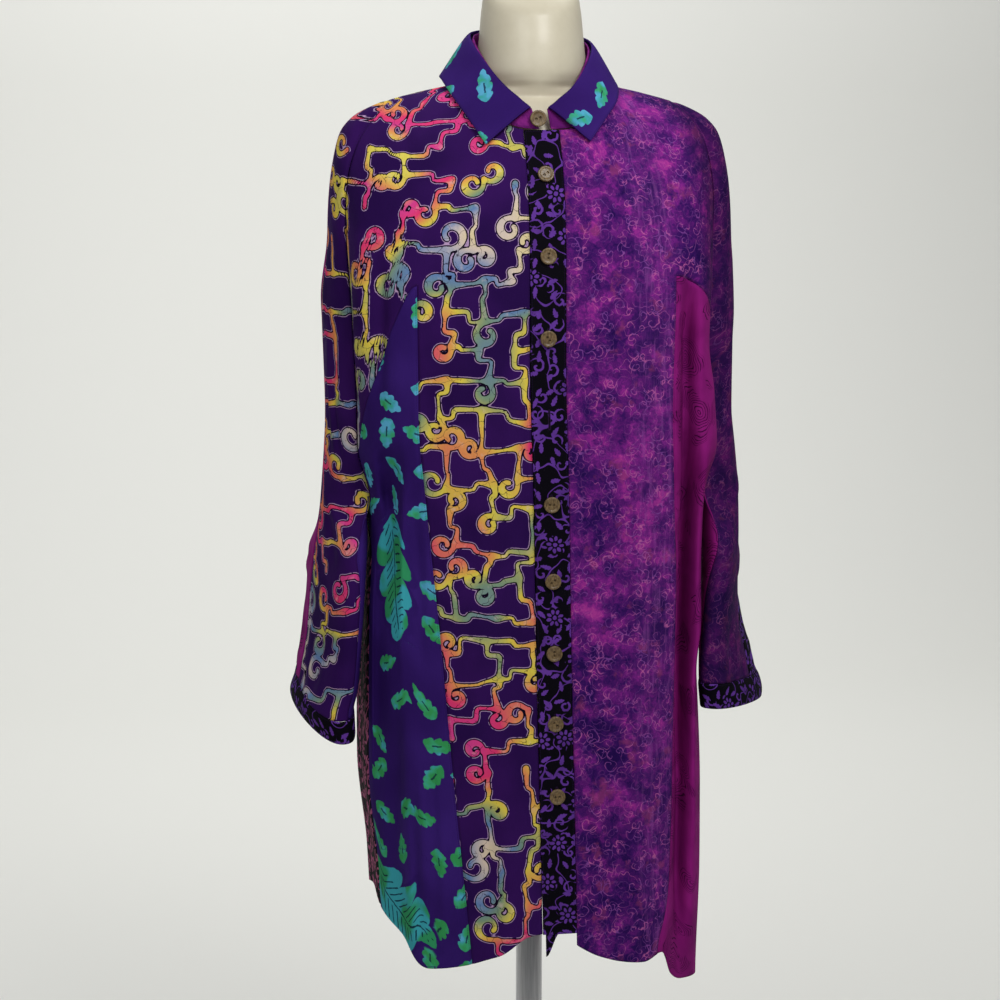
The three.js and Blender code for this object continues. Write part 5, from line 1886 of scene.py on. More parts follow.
    def _leaves(self, sheet: Nodes, effects: Effects) -> bpy.types.NodeSocket:
        """Turquoise leaves on blue-violet, greener low on the panel.

        Args:
            sheet: the material's nodes.
            effects: the shared groups.

        Returns:
            The colour.
        """
        depth = sheet.cloud(120.0, 2.0, 0.5)
        colour = sheet.blend(depth.rise(0.3, 0.7), srgb(50, 24, 100), srgb(62, 34, 120))
        where = sheet.wobbled(sheet.place(1.0), 2.0, 0.2)
        height = sheet.spot()["Y"]
        low = height.rise(200.0, 400.0) * height.fall(800.0, 960.0)
        hue = sheet.cloud(16.0, 2.0, 0.5) - low * 0.2
        tint = sheet.ramp(hue, [
            (0.24, srgb(58, 160, 92)), (0.38, srgb(66, 176, 130)), (0.48, srgb(70, 172, 178)),
            (0.6, srgb(96, 182, 220)),
        ])
        leaf = sheet.group(effects.leaf, Vector=where, Cell=39.0, Length=31.0, Width=8.4)
        across = sheet.spot()["X"]
        plain = across.rise(520.0, 540.0) * across.fall(680.0, 690.0)
        shown = leaf["Chance"].rise(0.3, 0.31) * (1.0 - plain)
        colour = sheet.blend(leaf["Distance"].fall(-0.2, 0.2) * shown, colour, tint)
        colour = sheet.blend(leaf["Vein"].fall(-0.2, 0.3) * shown * 0.85, colour, srgb(26, 22, 66))
        ragged = (sheet.cloud(7.0, 2.0, 0.5) - 0.5) * 3.0
        big = sheet.group(effects.big_leaf, X=sheet.attribute("leaf_along"),
                          Y=sheet.attribute("leaf_aside") + ragged,
                          Length=sheet.attribute("leaf_length"), Width=sheet.attribute("leaf_width"))
        near = sheet.attribute("leaf_length").rise(1.0, 2.0)
        turned = sheet.cloud(34.0, 1.0, 0.5, (5.0, 2.0, 0.0))
        bright = sheet.blend(turned.rise(0.42, 0.58), srgb(54, 158, 104), srgb(66, 176, 190))
        colour = sheet.blend(big["Distance"].fall(5.0, 9.0) * near, colour, srgb(54, 28, 108))
        colour = sheet.blend(big["Distance"].fall(-0.3, 0.4) * near, colour, bright)
        vein = big["Vein"].fall(-0.3, 0.4) * big["Distance"].fall(-0.6, 0.2) * near
        return sheet.blend(vein * 0.92, colour, srgb(22, 22, 58))

    def _scrolls(self, sheet: Nodes, effects: Effects) -> bpy.types.NodeSocket:
        """Feathery magenta and indigo clouds under thin pale scrolls, with painted shade that darkens it out
        on the sleeve.

        Args:
            sheet: the material's nodes.
            effects: the shared groups.

        Returns:
            The colour.
        """
        broad = sheet.cloud(60.0, 2.0, 0.5)
        torn = sheet.noise(sheet.wobbled(sheet.place(17.0), 0.7, 3.0), 8.0, 0.74)
        low = sheet.spot()["Y"].fall(620.0, 980.0)
        cloud = broad * 0.42 + torn * 0.75 - 0.085 - low * 0.045
        colour = sheet.ramp(cloud, [
            (0.33, srgb(40, 14, 84)), (0.43, srgb(66, 22, 104)), (0.5, srgb(94, 28, 116)),
            (0.56, srgb(116, 34, 132)), (0.62, srgb(150, 42, 146)), (0.72, srgb(182, 60, 156)),
        ])
        warm = sheet.cloud(30.0, 4.0, 0.6, (7.0, 3.0, 0.0)).rise(0.6, 0.72)
        colour = sheet.blend(warm * 0.45, colour, srgb(160, 64, 112))
        where = sheet.wobbled(sheet.place(1.0), 5.0, 0.12)
        scroll = sheet.group(effects.spiral, Vector=where, Cell=15.0, Order=0.85, Pitch=5.6, Reach=6.4)
        other = sheet.wobbled(sheet.place(1.0, (41.0, 7.0, 0.0)), 5.0, 0.1)
        small = sheet.group(effects.spiral, Vector=other, Cell=22.0, Order=0.9, Pitch=8.6, Reach=9.0)
        stem = (sheet.cloud(15.0, 1.0, 0.5, (2.0, 5.0, 0.0)) - 0.5).size() * 52.0
        line = scroll["Distance"].least(small["Distance"]).least(stem).fall(0.2, 0.62)
        patch = sheet.cloud(26.0, 3.0, 0.5, (1.0, 8.0, 0.0)).rise(0.36, 0.6)
        pale = sheet.blend(torn.rise(0.42, 0.6), srgb(136, 72, 162), srgb(204, 104, 168))
        colour = sheet.blend(line * (patch * 0.62 + 0.2), colour, pale)
        across = sheet.spot()["X"]
        streak = sheet.cloud(4.0, 3.0, 0.6, upright=0.1).rise(0.48, 0.72)
        band = across.rise(78.0, 96.0) * across.fall(120.0, 136.0)
        colour = sheet.blend(band * (streak * 0.26 + 0.03), colour, srgb(170, 90, 178))
        # painted shade: out on the sleeve, which turns away from the light, the colour is darkened towards
        # near-black purple
        return sheet.blend(across.rise(150.0, 190.0) * 0.62, colour, srgb(34, 12, 56))

    def _contours(self, sheet: Nodes, effects: Effects) -> bpy.types.NodeSocket:
        """Magenta with thin plum lines that run round like growth rings.

        Args:
            sheet: the material's nodes.
            effects: the shared groups.

        Returns:
            The colour.
        """
        where = sheet.wobbled(sheet.wobbled(sheet.place(1.0), 34.0, 0.018), 6.0, 0.06)
        at = sheet.group(effects.motif, Vector=where, Cell=58.0, Order=0.9)
        step = ((at["Radius"] / 2.7).part() - 0.5).size() * 2.7
        reach = at["Radius"] - (at["Chance"] * 18.0 + 15.0)
        weight = sheet.cloud(34.0, 1.0, 0.5, (4.0, 1.0, 0.0))
        shown = reach.fall(-2.0, 1.0) * weight.rise(0.4, 0.46)
        line = step.fall(0.22, 0.5) * shown
        band = ((at["Radius"] / 10.8).part()).rise(0.55, 0.9) * shown
        mottle = sheet.cloud(46.0, 2.0, 0.5)
        colour = sheet.blend(mottle.rise(0.3, 0.7), srgb(132, 24, 112), srgb(152, 32, 128))
        colour = sheet.blend(band * 0.3, colour, srgb(96, 12, 84))
        return sheet.blend(line * 0.92, colour, srgb(56, 4, 54))

    def _motifs(self, sheet: Nodes, effects: Effects, ground: Colour, paint: Colour,
                size: float) -> bpy.types.NodeSocket:
        """Daisies, thick scrolls, commas and dots on a dark ground.

        Args:
            sheet: the material's nodes.
            effects: the shared groups.
            ground: the cloth's colour.
            paint: the print's colour.
            size: factor on the print's size.

        Returns:
            The colour.
        """
        where = sheet.wobbled(sheet.place(size), 1.6, 0.25)
        daisy = sheet.group(effects.daisy, Vector=where, Cell=38.0)
        scroll = sheet.group(effects.spiral, Vector=where, Cell=22.0, Order=0.7, Pitch=7.6, Reach=7.4)
        stroke = (sheet.cloud(26.0 * size, 0.5, 0.5, (5.0, 1.0, 0.0)) - 0.5).size() * 76.0
        comma = sheet.group(effects.leaf, Vector=where, Cell=15.0, Length=10.0, Width=2.1)
        room = daisy["Distance"].rise(1.5, 2.4)
        curls = (scroll["Distance"] - 1.0).least(stroke - 0.9).least(comma["Distance"])
        paint_mask = daisy["Distance"].fall(-0.15, 0.25).most(curls.fall(-0.1, 0.35) * room)
        tone = sheet.cloud(30.0, 3.0, 0.6)
        dyed = sheet.blend(tone.rise(0.35, 0.75) * 0.6, paint, tuple(value * 0.5 for value in paint))
        return sheet.blend(paint_mask, ground, dyed)

    def _floral(self, sheet: Nodes, effects: Effects) -> bpy.types.NodeSocket:
        """Purple flowers and scrolls on black."""
        return self._motifs(sheet, effects, srgb(13, 10, 19), srgb(108, 62, 164), 1.0)

    def _pink(self, sheet: Nodes, effects: Effects) -> bpy.types.NodeSocket:
        """Dusty pink flowers and scrolls on black."""
        return self._motifs(sheet, effects, srgb(14, 8, 18), srgb(190, 96, 140), 1.25)

    def _plain(self, sheet: Nodes, effects: Effects) -> bpy.types.NodeSocket:
        """Mottled magenta."""
        mottle = sheet.cloud(18.0, 4.0, 0.6)
        return sheet.blend(mottle.rise(0.35, 0.65), srgb(104, 26, 110), srgb(140, 40, 134))


@dataclass(frozen=True)
class HardFinish:
    """Finish of a hard piece: two tones mixed by noise, a stretch of its grain and a fine bump."""

    name: str
    light: Colour
    dark: Colour
    roughness: float
    grain: tuple[float, float, float]
    contrast: float = 0.5
    metallic: float = 0.0
    coat: float = 0.0
    bump: float = 0.05

    def material(self) -> bpy.types.Material:
        """Makes the material from Object coordinates.

        Returns:
            The material.
        """
        made = bpy.data.materials.new(self.name)
        made.use_nodes = True
        shader = made.node_tree.nodes["Principled BSDF"]
        sheet = Nodes(made.node_tree)
        source = sheet.new("ShaderNodeTexCoord")
        mapping = sheet.new("ShaderNodeMapping")
        sheet.fill(mapping, Vector=source.outputs["Object"], Scale=self.grain)
        noise = sheet.new("ShaderNodeTexNoise")
        sheet.fill(noise, Vector=mapping.outputs["Vector"], Scale=1.0, Detail=5.0, Roughness=0.6)
        value = Field(sheet, noise.outputs["Fac"])
        edge = 0.5 - self.contrast / 2.0
        tone = sheet.blend(value.rise(edge, 1.0 - edge), self.dark, self.light)
        sheet.feed(shader.inputs["Base Color"], tone)
        sheet.feed(shader.inputs["Roughness"], value * 0.16 + (self.roughness - 0.08))
        shader.inputs["Metallic"].default_value = self.metallic
        shader.inputs["Coat Weight"].default_value = self.coat
        shader.inputs["Coat Roughness"].default_value = 0.12
        bump = sheet.new("ShaderNodeBump")
        sheet.fill(bump, Strength=0.4, Distance=self.bump * MM, Height=value)
        sheet.feed(shader.inputs["Normal"], bump.outputs["Normal"])
        return made


# ---------------------------------------------------------------- the dress
@dataclass
class Dress:
    """The dress: builds each maker's piece of cloth and dresses it in its print."""

    effects: Effects
    front_step: float = 1.9
    plain_step: float = 3.0
    back_step: float = 4.0
    front_spans: tuple[int, ...] = (106, 66, 32)  # widths and heights in mm that are cut into cells
    front_rows: tuple[int, ...] = (200, 190, 470)
    back_spans: tuple[int, ...] = (92, 176)
    back_rows: tuple[int, ...] = (200, 210, 490)
    sleeve_width: int = 84
    sleeve_length: int = 215
    vines: VineLattice = field(default_factory=lambda: VineLattice(LATTICE_SEED, *LATTICE_AREA))
    finishes: dict[Print, bpy.types.Material] = field(default_factory=dict)

    def finish(self, kind: Print) -> bpy.types.Material:
        """The material of a print, made once.

        Args:
            kind: the print.

        Returns:
            The material.
        """
        if kind not in self.finishes:
            self.finishes[kind] = ClothFinish(kind).material(self.effects)
        return self.finishes[kind]

    def place(self, cloth: Cloth, node: str, kind: Print, held: str = "hung", wall: float = CLOTH_WALL,
              rests_on: Sequence[str] = ("form_body",)) -> None:
        """Makes a piece, gives it its wall and material, and sets it in the frame.

        Args:
            cloth: its grid.
            node: the node that it stands for, and its name without "_cloth".
            kind: its print.
            held: how the cloth is held; not used.
            wall: its thickness in millimetres.
            rests_on: what it hangs from.
        """
        name = f"{node}_cloth"
        if "seam" not in cloth.extra:
            cloth.extra["seam"] = cloth.seam_distance(True) * MM
        made = cloth.build(name)
        solidify = made.modifiers.new("wall", "SOLIDIFY")
        solidify.thickness = wall * MM
        solidify.offset = -1.0
        set_in_frame(made, node, self.finish(kind))
        flat = cloth.cut()
        area = min(cloth.area(), flat[0] * flat[1])
        log.info("%s: %.3f x %.3f m cut, %.4f m2", name, flat[0], flat[1], area)
        list(rests_on)

    def body(self, side: Side) -> None:
        """Front and side panel of one half, then its sleeve.

        Args:
            side: the half that is built.
        """
        prints = {
            "right": (Print.LATTICE, Print.LEAF, Print.CONTOUR),
            "left": (Print.SCROLL, Print.CONTOUR, Print.BLACK_FLORAL),
        }[side.name]
        step = self.front_step if side is RIGHT else self.plain_step
        rows = Rows(*(int(length / step) for length in self.front_rows))
        inner, middle, outer = (int(width / step) for width in self.front_spans)
        apex = float(side.panel_top(0.0))
        piece = BodyPiece(side, [
            Span("front_edge", "panel", inner, lambda t: mix(APEX_Z, apex, t)),
            Span("panel", "front_valley", middle, side.panel_top),
            Span("front_valley", "side", outer, lambda t: np.full(len(t), float(side.panel_top(1.0)))),
        ], rows)
        valley = piece.starts[2] - 1
        panel = piece.starts[1] - 1
        whole = self.creased(piece, valley)
        flat = piece.flat(PLACKET_HALF_WIDTH)
        i = np.arange(piece.count - 1)[:, None]
        j = np.arange(piece.z.shape[1] - 1)[None]
        front_cells = (i < panel) | ((i < valley) & (j < rows.upper))
        side_cells = (i >= panel) & (j >= np.where(i < valley, rows.upper, rows.upper + rows.middle))
        last = valley + 1
        front = Cloth(whole.points[:last], flat[:last], front_cells[: last - 1]).pressed()
        if prints[0] is Print.LATTICE:
            front.extra["vine"] = self.vines.edge(front.flat)
        self.place(front, f"{side.name}_front", prints[0])
        flank = Cloth(whole.points[panel:], flat[panel:], side_cells[panel:]).pressed()
        if side is RIGHT:
            self.lay_leaves(flank)
        self.place(flank, f"{side.name}_side_panel", prints[1])
        under = rows.upper + rows.middle
        self.sleeve(side, rows, flat[valley, : under + 1], prints, step)

    @staticmethod
    def creased(piece: BodyPiece, valley: int) -> Cloth:
        """Lays the creases and hollows on a front, calm at the shoulder, the valley and the side seam.

        Args:
            piece: the front's grid, whose points are changed.
            valley: the column on which the sleeve starts.

        Returns:
            The cloth of the whole grid.
        """
        whole = Cloth(piece.points, np.zeros(piece.points.shape[:2] + (2,)))
        across = np.abs(piece.points[..., 0])
        column = np.arange(piece.count)
        calm = np.where(column < valley, 1.0, 1.0 - smooth((column - valley) / 6.0))
        at_valley = np.exp(-(((column - valley) / 5.0) ** 2))
        lower = smooth((UNDERARM_Z - piece.z) / 30.0)
        keep = 1.0 - at_valley[:, None] * (1.0 - lower)
        held = calm[:, None] * smooth((piece.z[:, :1] - piece.z) / TOP_CALM) * keep
        whole.raised(ridges(piece.side.creases, across, piece.z) * held)
        whole.points[..., 1] += ridges(piece.side.hollows, across, piece.z) * held
        piece.points = whole.points
        return whole

    @staticmethod
    def lay_leaves(cloth: Cloth) -> None:
        """Keeps each point's place on the nearest of the big leaves, given as points of the drape.

        Args:
            cloth: the side panel, whose extra values receive the places.
        """
        shape = cloth.points.shape[:2]
        places = np.zeros((4,) + shape)
        nearest = np.full(shape, 70.0)
        for foot, tip, half_width in BIG_LEAVES:
            ends = []
            for x, z in (foot, tip):
                away = np.hypot(np.abs(cloth.points[..., 0]) - x, cloth.points[..., 2] - z)
                away = away + np.where(cloth.points[..., 1] > 0, 50.0, 0.0)
                ends.append(cloth.flat[np.unravel_index(np.argmin(away), shape)])
            middle = (ends[0] + ends[1]) / 2.0
            half = float(np.linalg.norm(ends[1] - ends[0])) / 2.0
            way = (ends[1] - ends[0]) / (2.0 * half)
            local = cloth.flat - middle
            distance = np.linalg.norm(local, axis=-1)
            here = distance < nearest
            nearest = np.where(here, distance, nearest)
            along = local @ way
            aside = local @ np.array([-way[1], way[0]])
            for index, value in enumerate((along, aside, half, half_width)):
                places[index] = np.where(here, value, places[index])
        for index, key in enumerate(("leaf_along", "leaf_aside", "leaf_length", "leaf_width")):
            cloth.extra[key] = places[index]

    def sleeve(self, side: Side, rows: Rows, valley: Array, prints: tuple[Print, ...], step: float) -> None:
        """The four pieces of a sleeve.

        Args:
            side: half of the dress.
            rows: the body's rows.
            valley: flat coordinates of the valley.
            prints: prints of the front, the side panel and the sleeve's back.
            step: size of the front's cells.
        """
        form = Sleeve(side, Rows(rows.upper, rows.middle, int(self.sleeve_length / step)))
        front = form.half(True, int(self.sleeve_width / step), valley).pressed()
        if prints[0] is Print.LATTICE:
            front.extra["vine"] = self.vines.edge(front.flat)
        self.place(front, f"{side.name}_sleeve_front", prints[0])
        upper = int(200 / self.back_step)
        plain = Sleeve(side, Rows(upper, upper, int(self.sleeve_length / self.back_step)))
        height = np.linspace(1400.0, UNDERARM_Z, 2 * upper + 1)
        back_valley = np.stack([np.full(len(height), FLANK_FLAT_X), height], axis=-1)
        back = plain.half(False, 22, back_valley).pressed()
        self.place(back, f"{side.name}_sleeve_back", prints[2])
        under = plain.under(40).pressed()
        self.place(under, f"{side.name}_sleeve_under", prints[1], wall=1.1)
        cuff = form.cuff(120)
        self.place(cuff, f"{side.name}_cuff", Print.BLACK_FLORAL, wall=2.2,
                   rests_on=(f"{side.name}_sleeve_front_cloth",))

    def back(self) -> None:
        """The back, from side seam to side seam."""
        rows = Rows(*(int(length / self.back_step) for length in self.back_rows))
        outer, inner = (int(width / self.back_step) for width in self.back_spans)
        halves = []
        for side in (RIGHT, LEFT):
            spans = [
                Span("side", "back_valley", outer, lambda t: np.full(len(t), APEX_Z)),
                Span("back_valley", "centre_back", inner, lambda t: np.full(len(t), APEX_Z)),
            ]
            piece = BodyPiece(side, spans, rows, behind=True)
            shift = 8.0 if side is LEFT else 0.0  # the two halves' creases don't mirror each other
            rise = ridges(BACK_CREASES, np.abs(piece.points[..., 0]) + shift, piece.z)
            rise = rise * smooth((piece.z[:, :1] - piece.z) / TOP_CALM)
            wrap = piece.starts[1] - 1
            near = np.exp(-(((np.arange(piece.count) - wrap) / 3.0) ** 2))[:, None]
            rise = rise * (1.0 - near) * smooth(np.arange(piece.count)[::-1] / 4.0)[:, None]
            flat = piece.flat(0.0)
            flat[..., 0] = side.sign * (flat[-1:, :, 0] - flat[..., 0])
            halves.append((piece.points, rise, flat))
        points, rise, flat = (np.concatenate([right, left[::-1][1:]]) for right, left in zip(*halves))
        count = len(points)
        i = np.arange(count - 1)[:, None]
        j = np.arange(points.shape[1] - 1)[None]
        cells = ((i >= wrap) & (i < count - 1 - wrap)) | (j >= rows.upper + rows.middle)
        cloth = Cloth(points, flat, cells).raised(rise).pressed()
        self.place(cloth, "back", Print.BLACK_PINK)

    def plackets(self) -> None:
        """The buttonhole strip and the strip under it."""
        top = float(Body.neck_front(0.0)) - LAYER_GAP
        foot = float(RIGHT.hem(4.0))
        for name, half, drop, cells, rise, wall in (
            ("placket", PLACKET_HALF_WIDTH - 0.1, 0.0, 36, 1.0, 1.9),
            ("under_placket", UNDER_PLACKET_HALF_WIDTH, UNDER_PLACKET_DROP, 14, -1.35, 1.3),
        ):
            count = int((top - foot + drop) / (1.1 if name == "placket" else 3.0))
            share = np.linspace(0.0, 1.0, cells + 1)[:, None]
            offset = mix(-half, half, share)
            ends = foot - drop * (1.0 - smooth(share / 0.5))
            height = mix(top, ends, np.linspace(0.0, 1.0, count + 1))
            x = Body.placket(height) + offset
            points = Body.placket_point(x, height)
            flat = np.stack([offset + 0.0 * x, height], axis=-1)
            cloth = Cloth(points, flat)
            edge = (np.abs(offset) / half) ** 16
            wave = 0.35 * np.sin(height / 5.7) * np.sin(height / 23.0 + 1.0) * (np.abs(offset) / half) ** 3
            cloth.raised(rise - 0.5 * edge + wave if name == "placket" else np.full(x.shape, rise))
            if name == "placket":
                cloth.extra["hole"] = self.buttonholes(offset + 0.0 * x, height)
                cloth.extra["holes"] = np.ones(x.shape)
            self.place(cloth, name, Print.BLACK_FLORAL, wall=wall)

    @staticmethod
    def buttonholes(offset: Array, height: Array) -> Array:
        """Distance to the nearest upright buttonhole: a line 18 mm long on the strip's middle.

        Args:
            offset: distances from the strip's middle.
            height: heights.

        Returns:
            The distances.
        """
        nearest = np.full(offset.shape, 40.0)
        for z in (*BUTTON_HEIGHTS, EMPTY_BUTTONHOLE_Z):
            past = np.maximum(np.abs(height - z) - BUTTONHOLE_HALF, 0.0)
            nearest = np.minimum(nearest, np.hypot(offset, past))
        return nearest

    def neck(self) -> None:
        """Collar and stand."""
        neck = Neck()
        collar = neck.collar()
        collar.extra["seam"] = collar.seam_distance(True) * MM
        self.place(collar, "collar", Print.LEAF, held="folded", wall=1.9,
                   rests_on=("collar_stand_cloth",))
        self.place(neck.stand(), "collar_stand", Print.STAND, held="folded")

    def build(self) -> None:
        """Builds every piece of cloth."""
        for side in (RIGHT, LEFT):
            self.body(side)
        self.back()
        self.plackets()
        self.neck()


# ---------------------------------------------------------------- buttons
@dataclass
class Buttons:
    """Flat two-hole buttons with a raised rim and a dished middle, sewn down the front."""

    hole_radius: float = 1.05
    hole_offset: float = 2.0
    around: int = 88

    def profile(self) -> tuple[Array, Array]:
        """Radii and heights of the face, then the side and the underside.

        Returns:
            The radii and the heights.
        """
        rim = np.array([
            (4.8, 2.38), (5.4, 2.5), (5.8, 2.75), (6.2, 2.95), (6.8, 3.0), (7.3, 2.95), (7.7, 2.75),
            (7.95, 2.4), (8.0, 2.0), (8.0, 0.8), (7.8, 0.3), (7.2, 0.0), (3.0, 0.0), (0.05, 0.0),
        ])
        radii = np.concatenate([np.linspace(0.05, 4.2, 18), rim[:, 0]])
        return radii, np.concatenate([np.full(18, 2.35), rim[:, 1]])

    def mesh(self, name: str, origin: Array, normal: Array, turn: float) -> bpy.types.Object:
        """One button: the profile turned round, with two pits sunk in its face.

        Args:
            name: the piece's name.
            origin: middle of its underside, in millimetres.
            normal: the way that its face looks.
            turn: angle of its two holes.

        Returns:
            The object.
        """
        radii, heights = self.profile()
        angle = np.arange(self.around) * TURN / self.around
        x = np.cos(angle)[:, None] * radii
        y = np.sin(angle)[:, None] * radii
        z = np.repeat(heights[None], self.around, axis=0).copy()
        for hole in (-self.hole_offset, self.hole_offset):
            away = np.hypot(x - hole, y)
            pit = 1.9 * smooth((self.hole_radius + 0.25 - away) / 0.45)
            z = np.where((heights > 2.0) & (radii < 5.0), z - pit, z)
        x_axis = unit(np.cross(np.array([0.0, 0.0, 1.0]), normal))
        y_axis = np.cross(normal, x_axis)
        first = x_axis * math.cos(turn) + y_axis * math.sin(turn)
        second = np.cross(normal, first)
        points = origin + x[..., None] * first + y[..., None] * second + z[..., None] * normal
        return lathe_mesh(name, points)

    def build(self, material: bpy.types.Material) -> None:
        """Places the buttons on the strip and the one on the stand.

        Args:
            material: the buttons' finish.
        """
        for index, height in enumerate(BUTTON_HEIGHTS):
            z = float(height)
            x = float(Body.placket(np.array(z)))
            xs = np.array([x, x - 1.0, x + 1.0, x, x])
            zs = np.array([z, z, z, z - 4.0, z + 4.0])
            p = Body.placket_point(xs, zs)
            normal = unit(np.cross(p[2] - p[1], p[4] - p[3]))
            place = p[0] + normal * 1.45
            made = self.mesh(f"button_{index + 1}_disc", place, normal, math.radians(35 + 47 * index))
            set_in_frame(made, f"button_{index + 1}", material)
        normal = unit(np.array([0.0, -1.0, 0.08]))
        made = self.mesh("button_stand_disc", np.array(STAND_BUTTON), normal, math.radians(18))
        set_in_frame(made, "button_stand", material)


def lathe_mesh(name: str, points: Array) -> bpy.types.Object:
    """Closed shell of rings of points: (around, along, 3) in millimetres, with a fan at each end.

    Args:
        name: the piece's name.
        points: the grid of points.

    Returns:
        The object, its faces turned outwards.
    """
    around, along = points.shape[:2]
    ends = np.stack([points[:, 0].mean(axis=0), points[:, -1].mean(axis=0)])
    vertices = np.concatenate([points.reshape(-1, 3), ends])
    i, j = np.meshgrid(np.arange(around), np.arange(along - 1), indexing="ij")
    i, j = i.reshape(-1), j.reshape(-1)
    k = (i + 1) % around
    quads = np.stack([i * along + j, k * along + j, k * along + j + 1, i * along + j + 1], axis=1)
    ring = np.arange(around)
    other = (ring + 1) % around
    first = np.stack([np.full(around, around * along), other * along, ring * along], axis=1)
    last = np.stack([np.full(around, around * along + 1), ring * along + along - 1,
                     other * along + along - 1], axis=1)
    a, b, c, d = (vertices[quads[:, n]] for n in range(4))
    volume = (a * np.cross(b, c)).sum() + (a * np.cross(c, d)).sum()
    faces = [*quads.tolist(), *first.tolist(), *last.tolist()]
    if volume < 0:
        faces = [face[::-1] for face in faces]
    mesh = smooth_mesh(name, vertices, faces)
    mesh.update()
    return linked(name, mesh)


# ---------------------------------------------------------------- dress form and stand
@dataclass
class DressForm:
    """Smooth plastic form: rings of rounded section, a tilted cap on the neck, pole and base."""

    around: int = 96
    pole_radius: float = 14.0
    base_radius: float = 165.0
    base_thickness: float = 8.0

    def rings(self) -> Array:
        """Rows of the form from its foot to the cap: z, half-width, depths, roundness and tilt.

        Returns:
            The table.
        """
        shoulders = []
        for z, front in FORM_SHOULDERS:
            reach = float(Body.reach(np.array(z + 1.85))) - 0.9
            shoulders.append((z, min(reach, FORM_SHOULDER_END), front, 32, 1.2, 0))
        return np.array([*FORM_RINGS, *shoulders, *FORM_NECK], float)

    def body(self) -> bpy.types.Object:
        """Form: superellipse rings, five for each row of the table, with the neck's rim rounded.

        Returns:
            The object.
        """
        table = self.rings()
        place = np.arange(len(table))
        fine = np.linspace(0, len(table) - 1, (len(table) - 1) * 5 + 1)
        curves = [Curve(np.stack([place, table[:, c]], axis=1)) for c in range(6)]
        z, width, front, back, power, tilt = (curve(fine) for curve in curves)
        angle = np.arange(self.around)[:, None] * TURN / self.around
        cosine, sine = np.cos(angle), np.sin(angle)
        x = width * np.sign(cosine) * np.abs(cosine) ** (2.0 / power)
        y = np.where(sine < 0, front, back) * np.sign(sine) * np.abs(sine) ** (2.0 / power)
        points = np.stack([x, y, z + tilt * y], axis=-1)
        return lathe_mesh("form_shell", points)

    def turned(self, name: str, profile: Sequence[tuple[float, float]], sides: int) -> bpy.types.Object:
        """A profile of (radius, height) turned about the upright axis.

        Args:
            name: the piece's name.
            profile: its points.
            sides: number of sides.

        Returns:
            The object.
        """
        rows = np.array(profile, float)
        angle = np.arange(sides)[:, None] * TURN / sides
        x = np.cos(angle) * rows[:, 0]
        y = np.sin(angle) * rows[:, 0]
        return lathe_mesh(name, np.stack(np.broadcast_arrays(x, y, rows[:, 1]), axis=-1))

    def build(self, plastic: bpy.types.Material, metal: bpy.types.Material) -> None:
        """Builds the form, pole and base.

        Args:
            plastic: the form's finish.
            metal: the stand's finish.
        """
        foot = self.base_thickness + LAYER_GAP
        top = FORM_RINGS[0][0] - LAYER_GAP
        r, rise = self.pole_radius, foot + 22.0
        collar = r + 12.0
        t = np.linspace(0, 1, 9)
        flare = [(float(mix(collar, r, smooth(s))), float(mix(foot + 6.0, rise, s))) for s in t]
        pole = [(0.2, foot), (collar - 0.8, foot), (collar, foot + 0.8), *flare, (r, 400.0), (r, top - 0.6),
                (r - 0.6, top), (0.2, top)]
        edge = [(self.base_radius - 3.0 + 3.0 * math.sin(a), self.base_thickness - 3.0 + 3.0 * math.cos(a))
                for a in np.linspace(math.pi / 2, 0, 7)]
        base = [(0.2, 0.0), (self.base_radius - 0.8, 0.0), (self.base_radius, 0.8), *edge,
                (40.0, self.base_thickness), (0.2, self.base_thickness)]
        for made, node, material, slot in (
            (self.body(), "form_body", plastic, "form_plastic"),
            (self.turned("pole_tube", pole, 64), "pole", metal, "stand_metal"),
            (self.turned("base_plate", base, 160), "base", metal, "stand_metal"),
        ):
            set_in_frame(made, node, material)
            log.info("%s for %s", made.name, node)


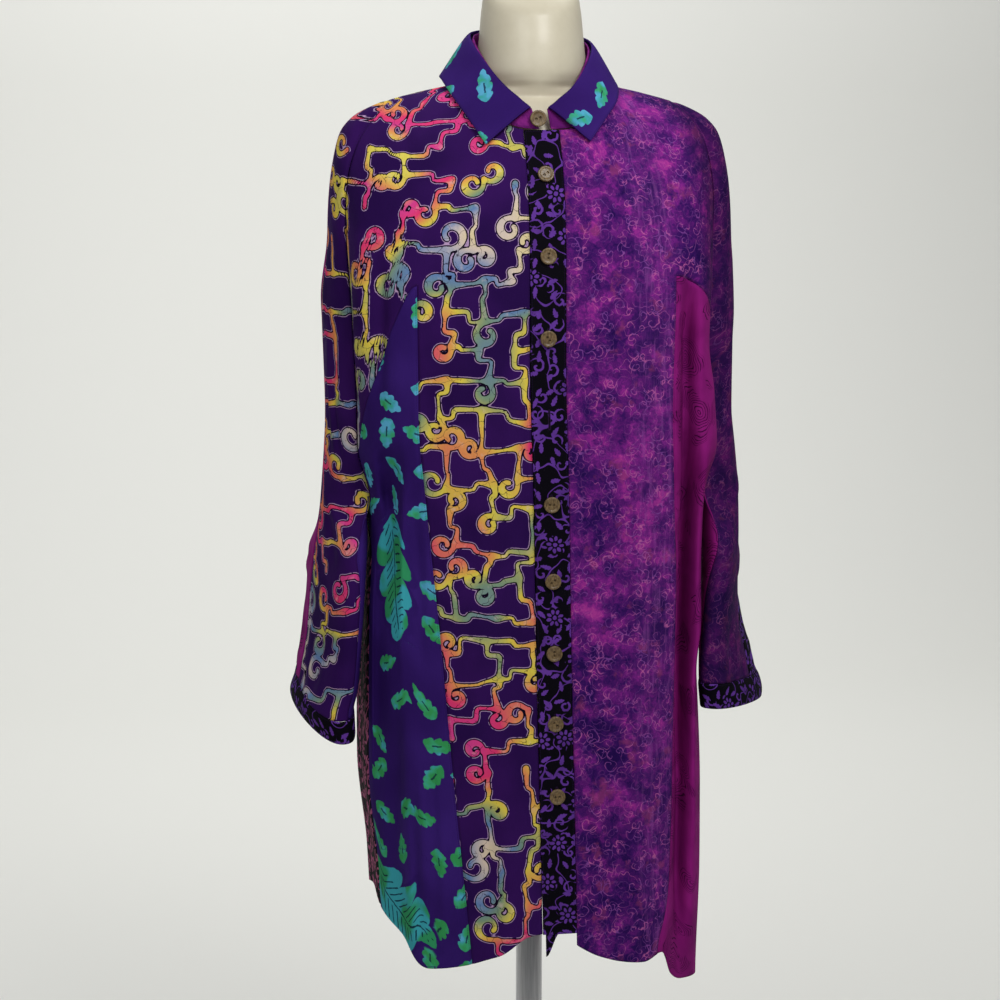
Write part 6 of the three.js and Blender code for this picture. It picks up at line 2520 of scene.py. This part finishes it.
# ---------------------------------------------------------------- studio
@dataclass
class Studio:
    """Pale sweep, soft lights and the camera."""

    azimuth: float = -8.0
    elevation: float = 9.0
    place: tuple[float, float, float] = (-0.32643, -2.09852, 1.32133)
    lens: float = 74.42
    sensor: float = 36.0

    def camera(self) -> None:
        """Camera that looks back along its azimuth and elevation."""
        data = bpy.data.cameras.new("camera")
        data.lens = self.lens
        data.sensor_width = self.sensor
        data.sensor_height = self.sensor
        data.clip_end = 50.0
        made = linked("camera", data)
        made.location = self.place
        made.rotation_euler = (math.radians(90.0 - self.elevation), 0.0, math.radians(self.azimuth))
        bpy.context.scene.camera = made

    def light(self, name: str, place: tuple[float, float, float], aim: tuple[float, float, float],
              size: float, power: float) -> None:
        """A large square area light aimed at a point.

        Args:
            name: its name.
            place: where it hangs.
            aim: what it points at.
            size: length of its side.
            power: its watts.
        """
        data = bpy.data.lights.new(name, "AREA")
        data.size = size
        data.energy = power
        made = linked(name, data)
        made.location = place
        way = np.array(place) - np.array(aim)
        made.rotation_euler = (math.acos(way[2] / np.linalg.norm(way)), 0.0, math.atan2(way[0], -way[1]))

    def sweep(self) -> None:
        """Floor that curves up into a wall behind: a profile carried sideways."""
        radius, front, back, height, half = 1600.0, -5000.0, 3000.0, 5000.0, 7000.0
        angle = np.linspace(0, math.pi / 2, 17)
        y = np.concatenate([[front], back + radius * np.sin(angle), [back + radius]])
        z = np.concatenate([[0.0], radius - radius * np.cos(angle), [height]])
        x = np.array([-half, half])[:, None]
        points = np.stack(np.broadcast_arrays(x, y, z), axis=-1).reshape(-1, 3)
        count = len(y)
        j = np.arange(count - 1)
        faces = np.stack([j, j + count, j + count + 1, j + 1], axis=1)
        mesh = smooth_mesh("sweep", points, faces.tolist())
        made = linked("sweep", mesh)
        finish = bpy.data.materials.new("sweep_paper")
        finish.use_nodes = True
        shader = finish.node_tree.nodes["Principled BSDF"]
        shader.inputs["Base Color"].default_value = (*srgb(226, 226, 221), 1.0)
        shader.inputs["Roughness"].default_value = 0.9
        shader.inputs["Specular IOR Level"].default_value = 0.1
        mesh.materials.append(finish)

    def build(self) -> None:
        """Sets the world, lights, sweep and camera."""
        self.camera()
        world = bpy.data.worlds.new("studio")
        world.use_nodes = True
        world.node_tree.nodes["Background"].inputs["Color"].default_value = (*srgb(238, 240, 244), 1.0)
        world.node_tree.nodes["Background"].inputs["Strength"].default_value = 0.2
        bpy.context.scene.world = world
        bpy.context.scene.view_settings.view_transform = "Standard"
        self.light("key", (0.45, -1.3, 2.3), (0.0, 0.0, 1.32), 0.6, 13.5)
        self.light("fill", (-0.75, -1.35, 2.1), (0.0, 0.0, 1.3), 0.6, 5.5)
        self.light("front", (0.0, -2.4, 2.1), (0.0, 0.0, 1.3), 1.2, 4.0)
        self.light("backdrop", (0.0, 1.6, 4.0), (0.0, 4.6, 1.2), 3.0, 150.0)
        self.sweep()


def main() -> None:
    """Builds the studio, the dress, its buttons and the form, and logs each piece of cloth and each part of
    the form.
    """
    logging.basicConfig(level=logging.INFO, format="%(name)s: %(message)s")
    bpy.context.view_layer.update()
    Studio().build()
    dress = Dress(Effects())
    dress.build()
    coconut = HardFinish("coconut_button", srgb(140, 116, 78), srgb(78, 58, 34), 0.42, (700.0, 180.0, 260.0),
                         0.5, coat=0.15, bump=0.12)
    Buttons().build(coconut.material())
    plastic = HardFinish("form_plastic", srgb(226, 218, 194), srgb(216, 207, 182), 0.42, (30.0, 30.0, 30.0),
                         0.62, coat=0.08, bump=0.02)
    metal = HardFinish("stand_metal", srgb(196, 196, 198), srgb(160, 160, 164), 0.3, (400.0, 400.0, 12.0),
                       0.5, metallic=1.0, bump=0.03)
    DressForm().build(plastic.material(), metal.material())


if __name__ == "__main__":
    main()
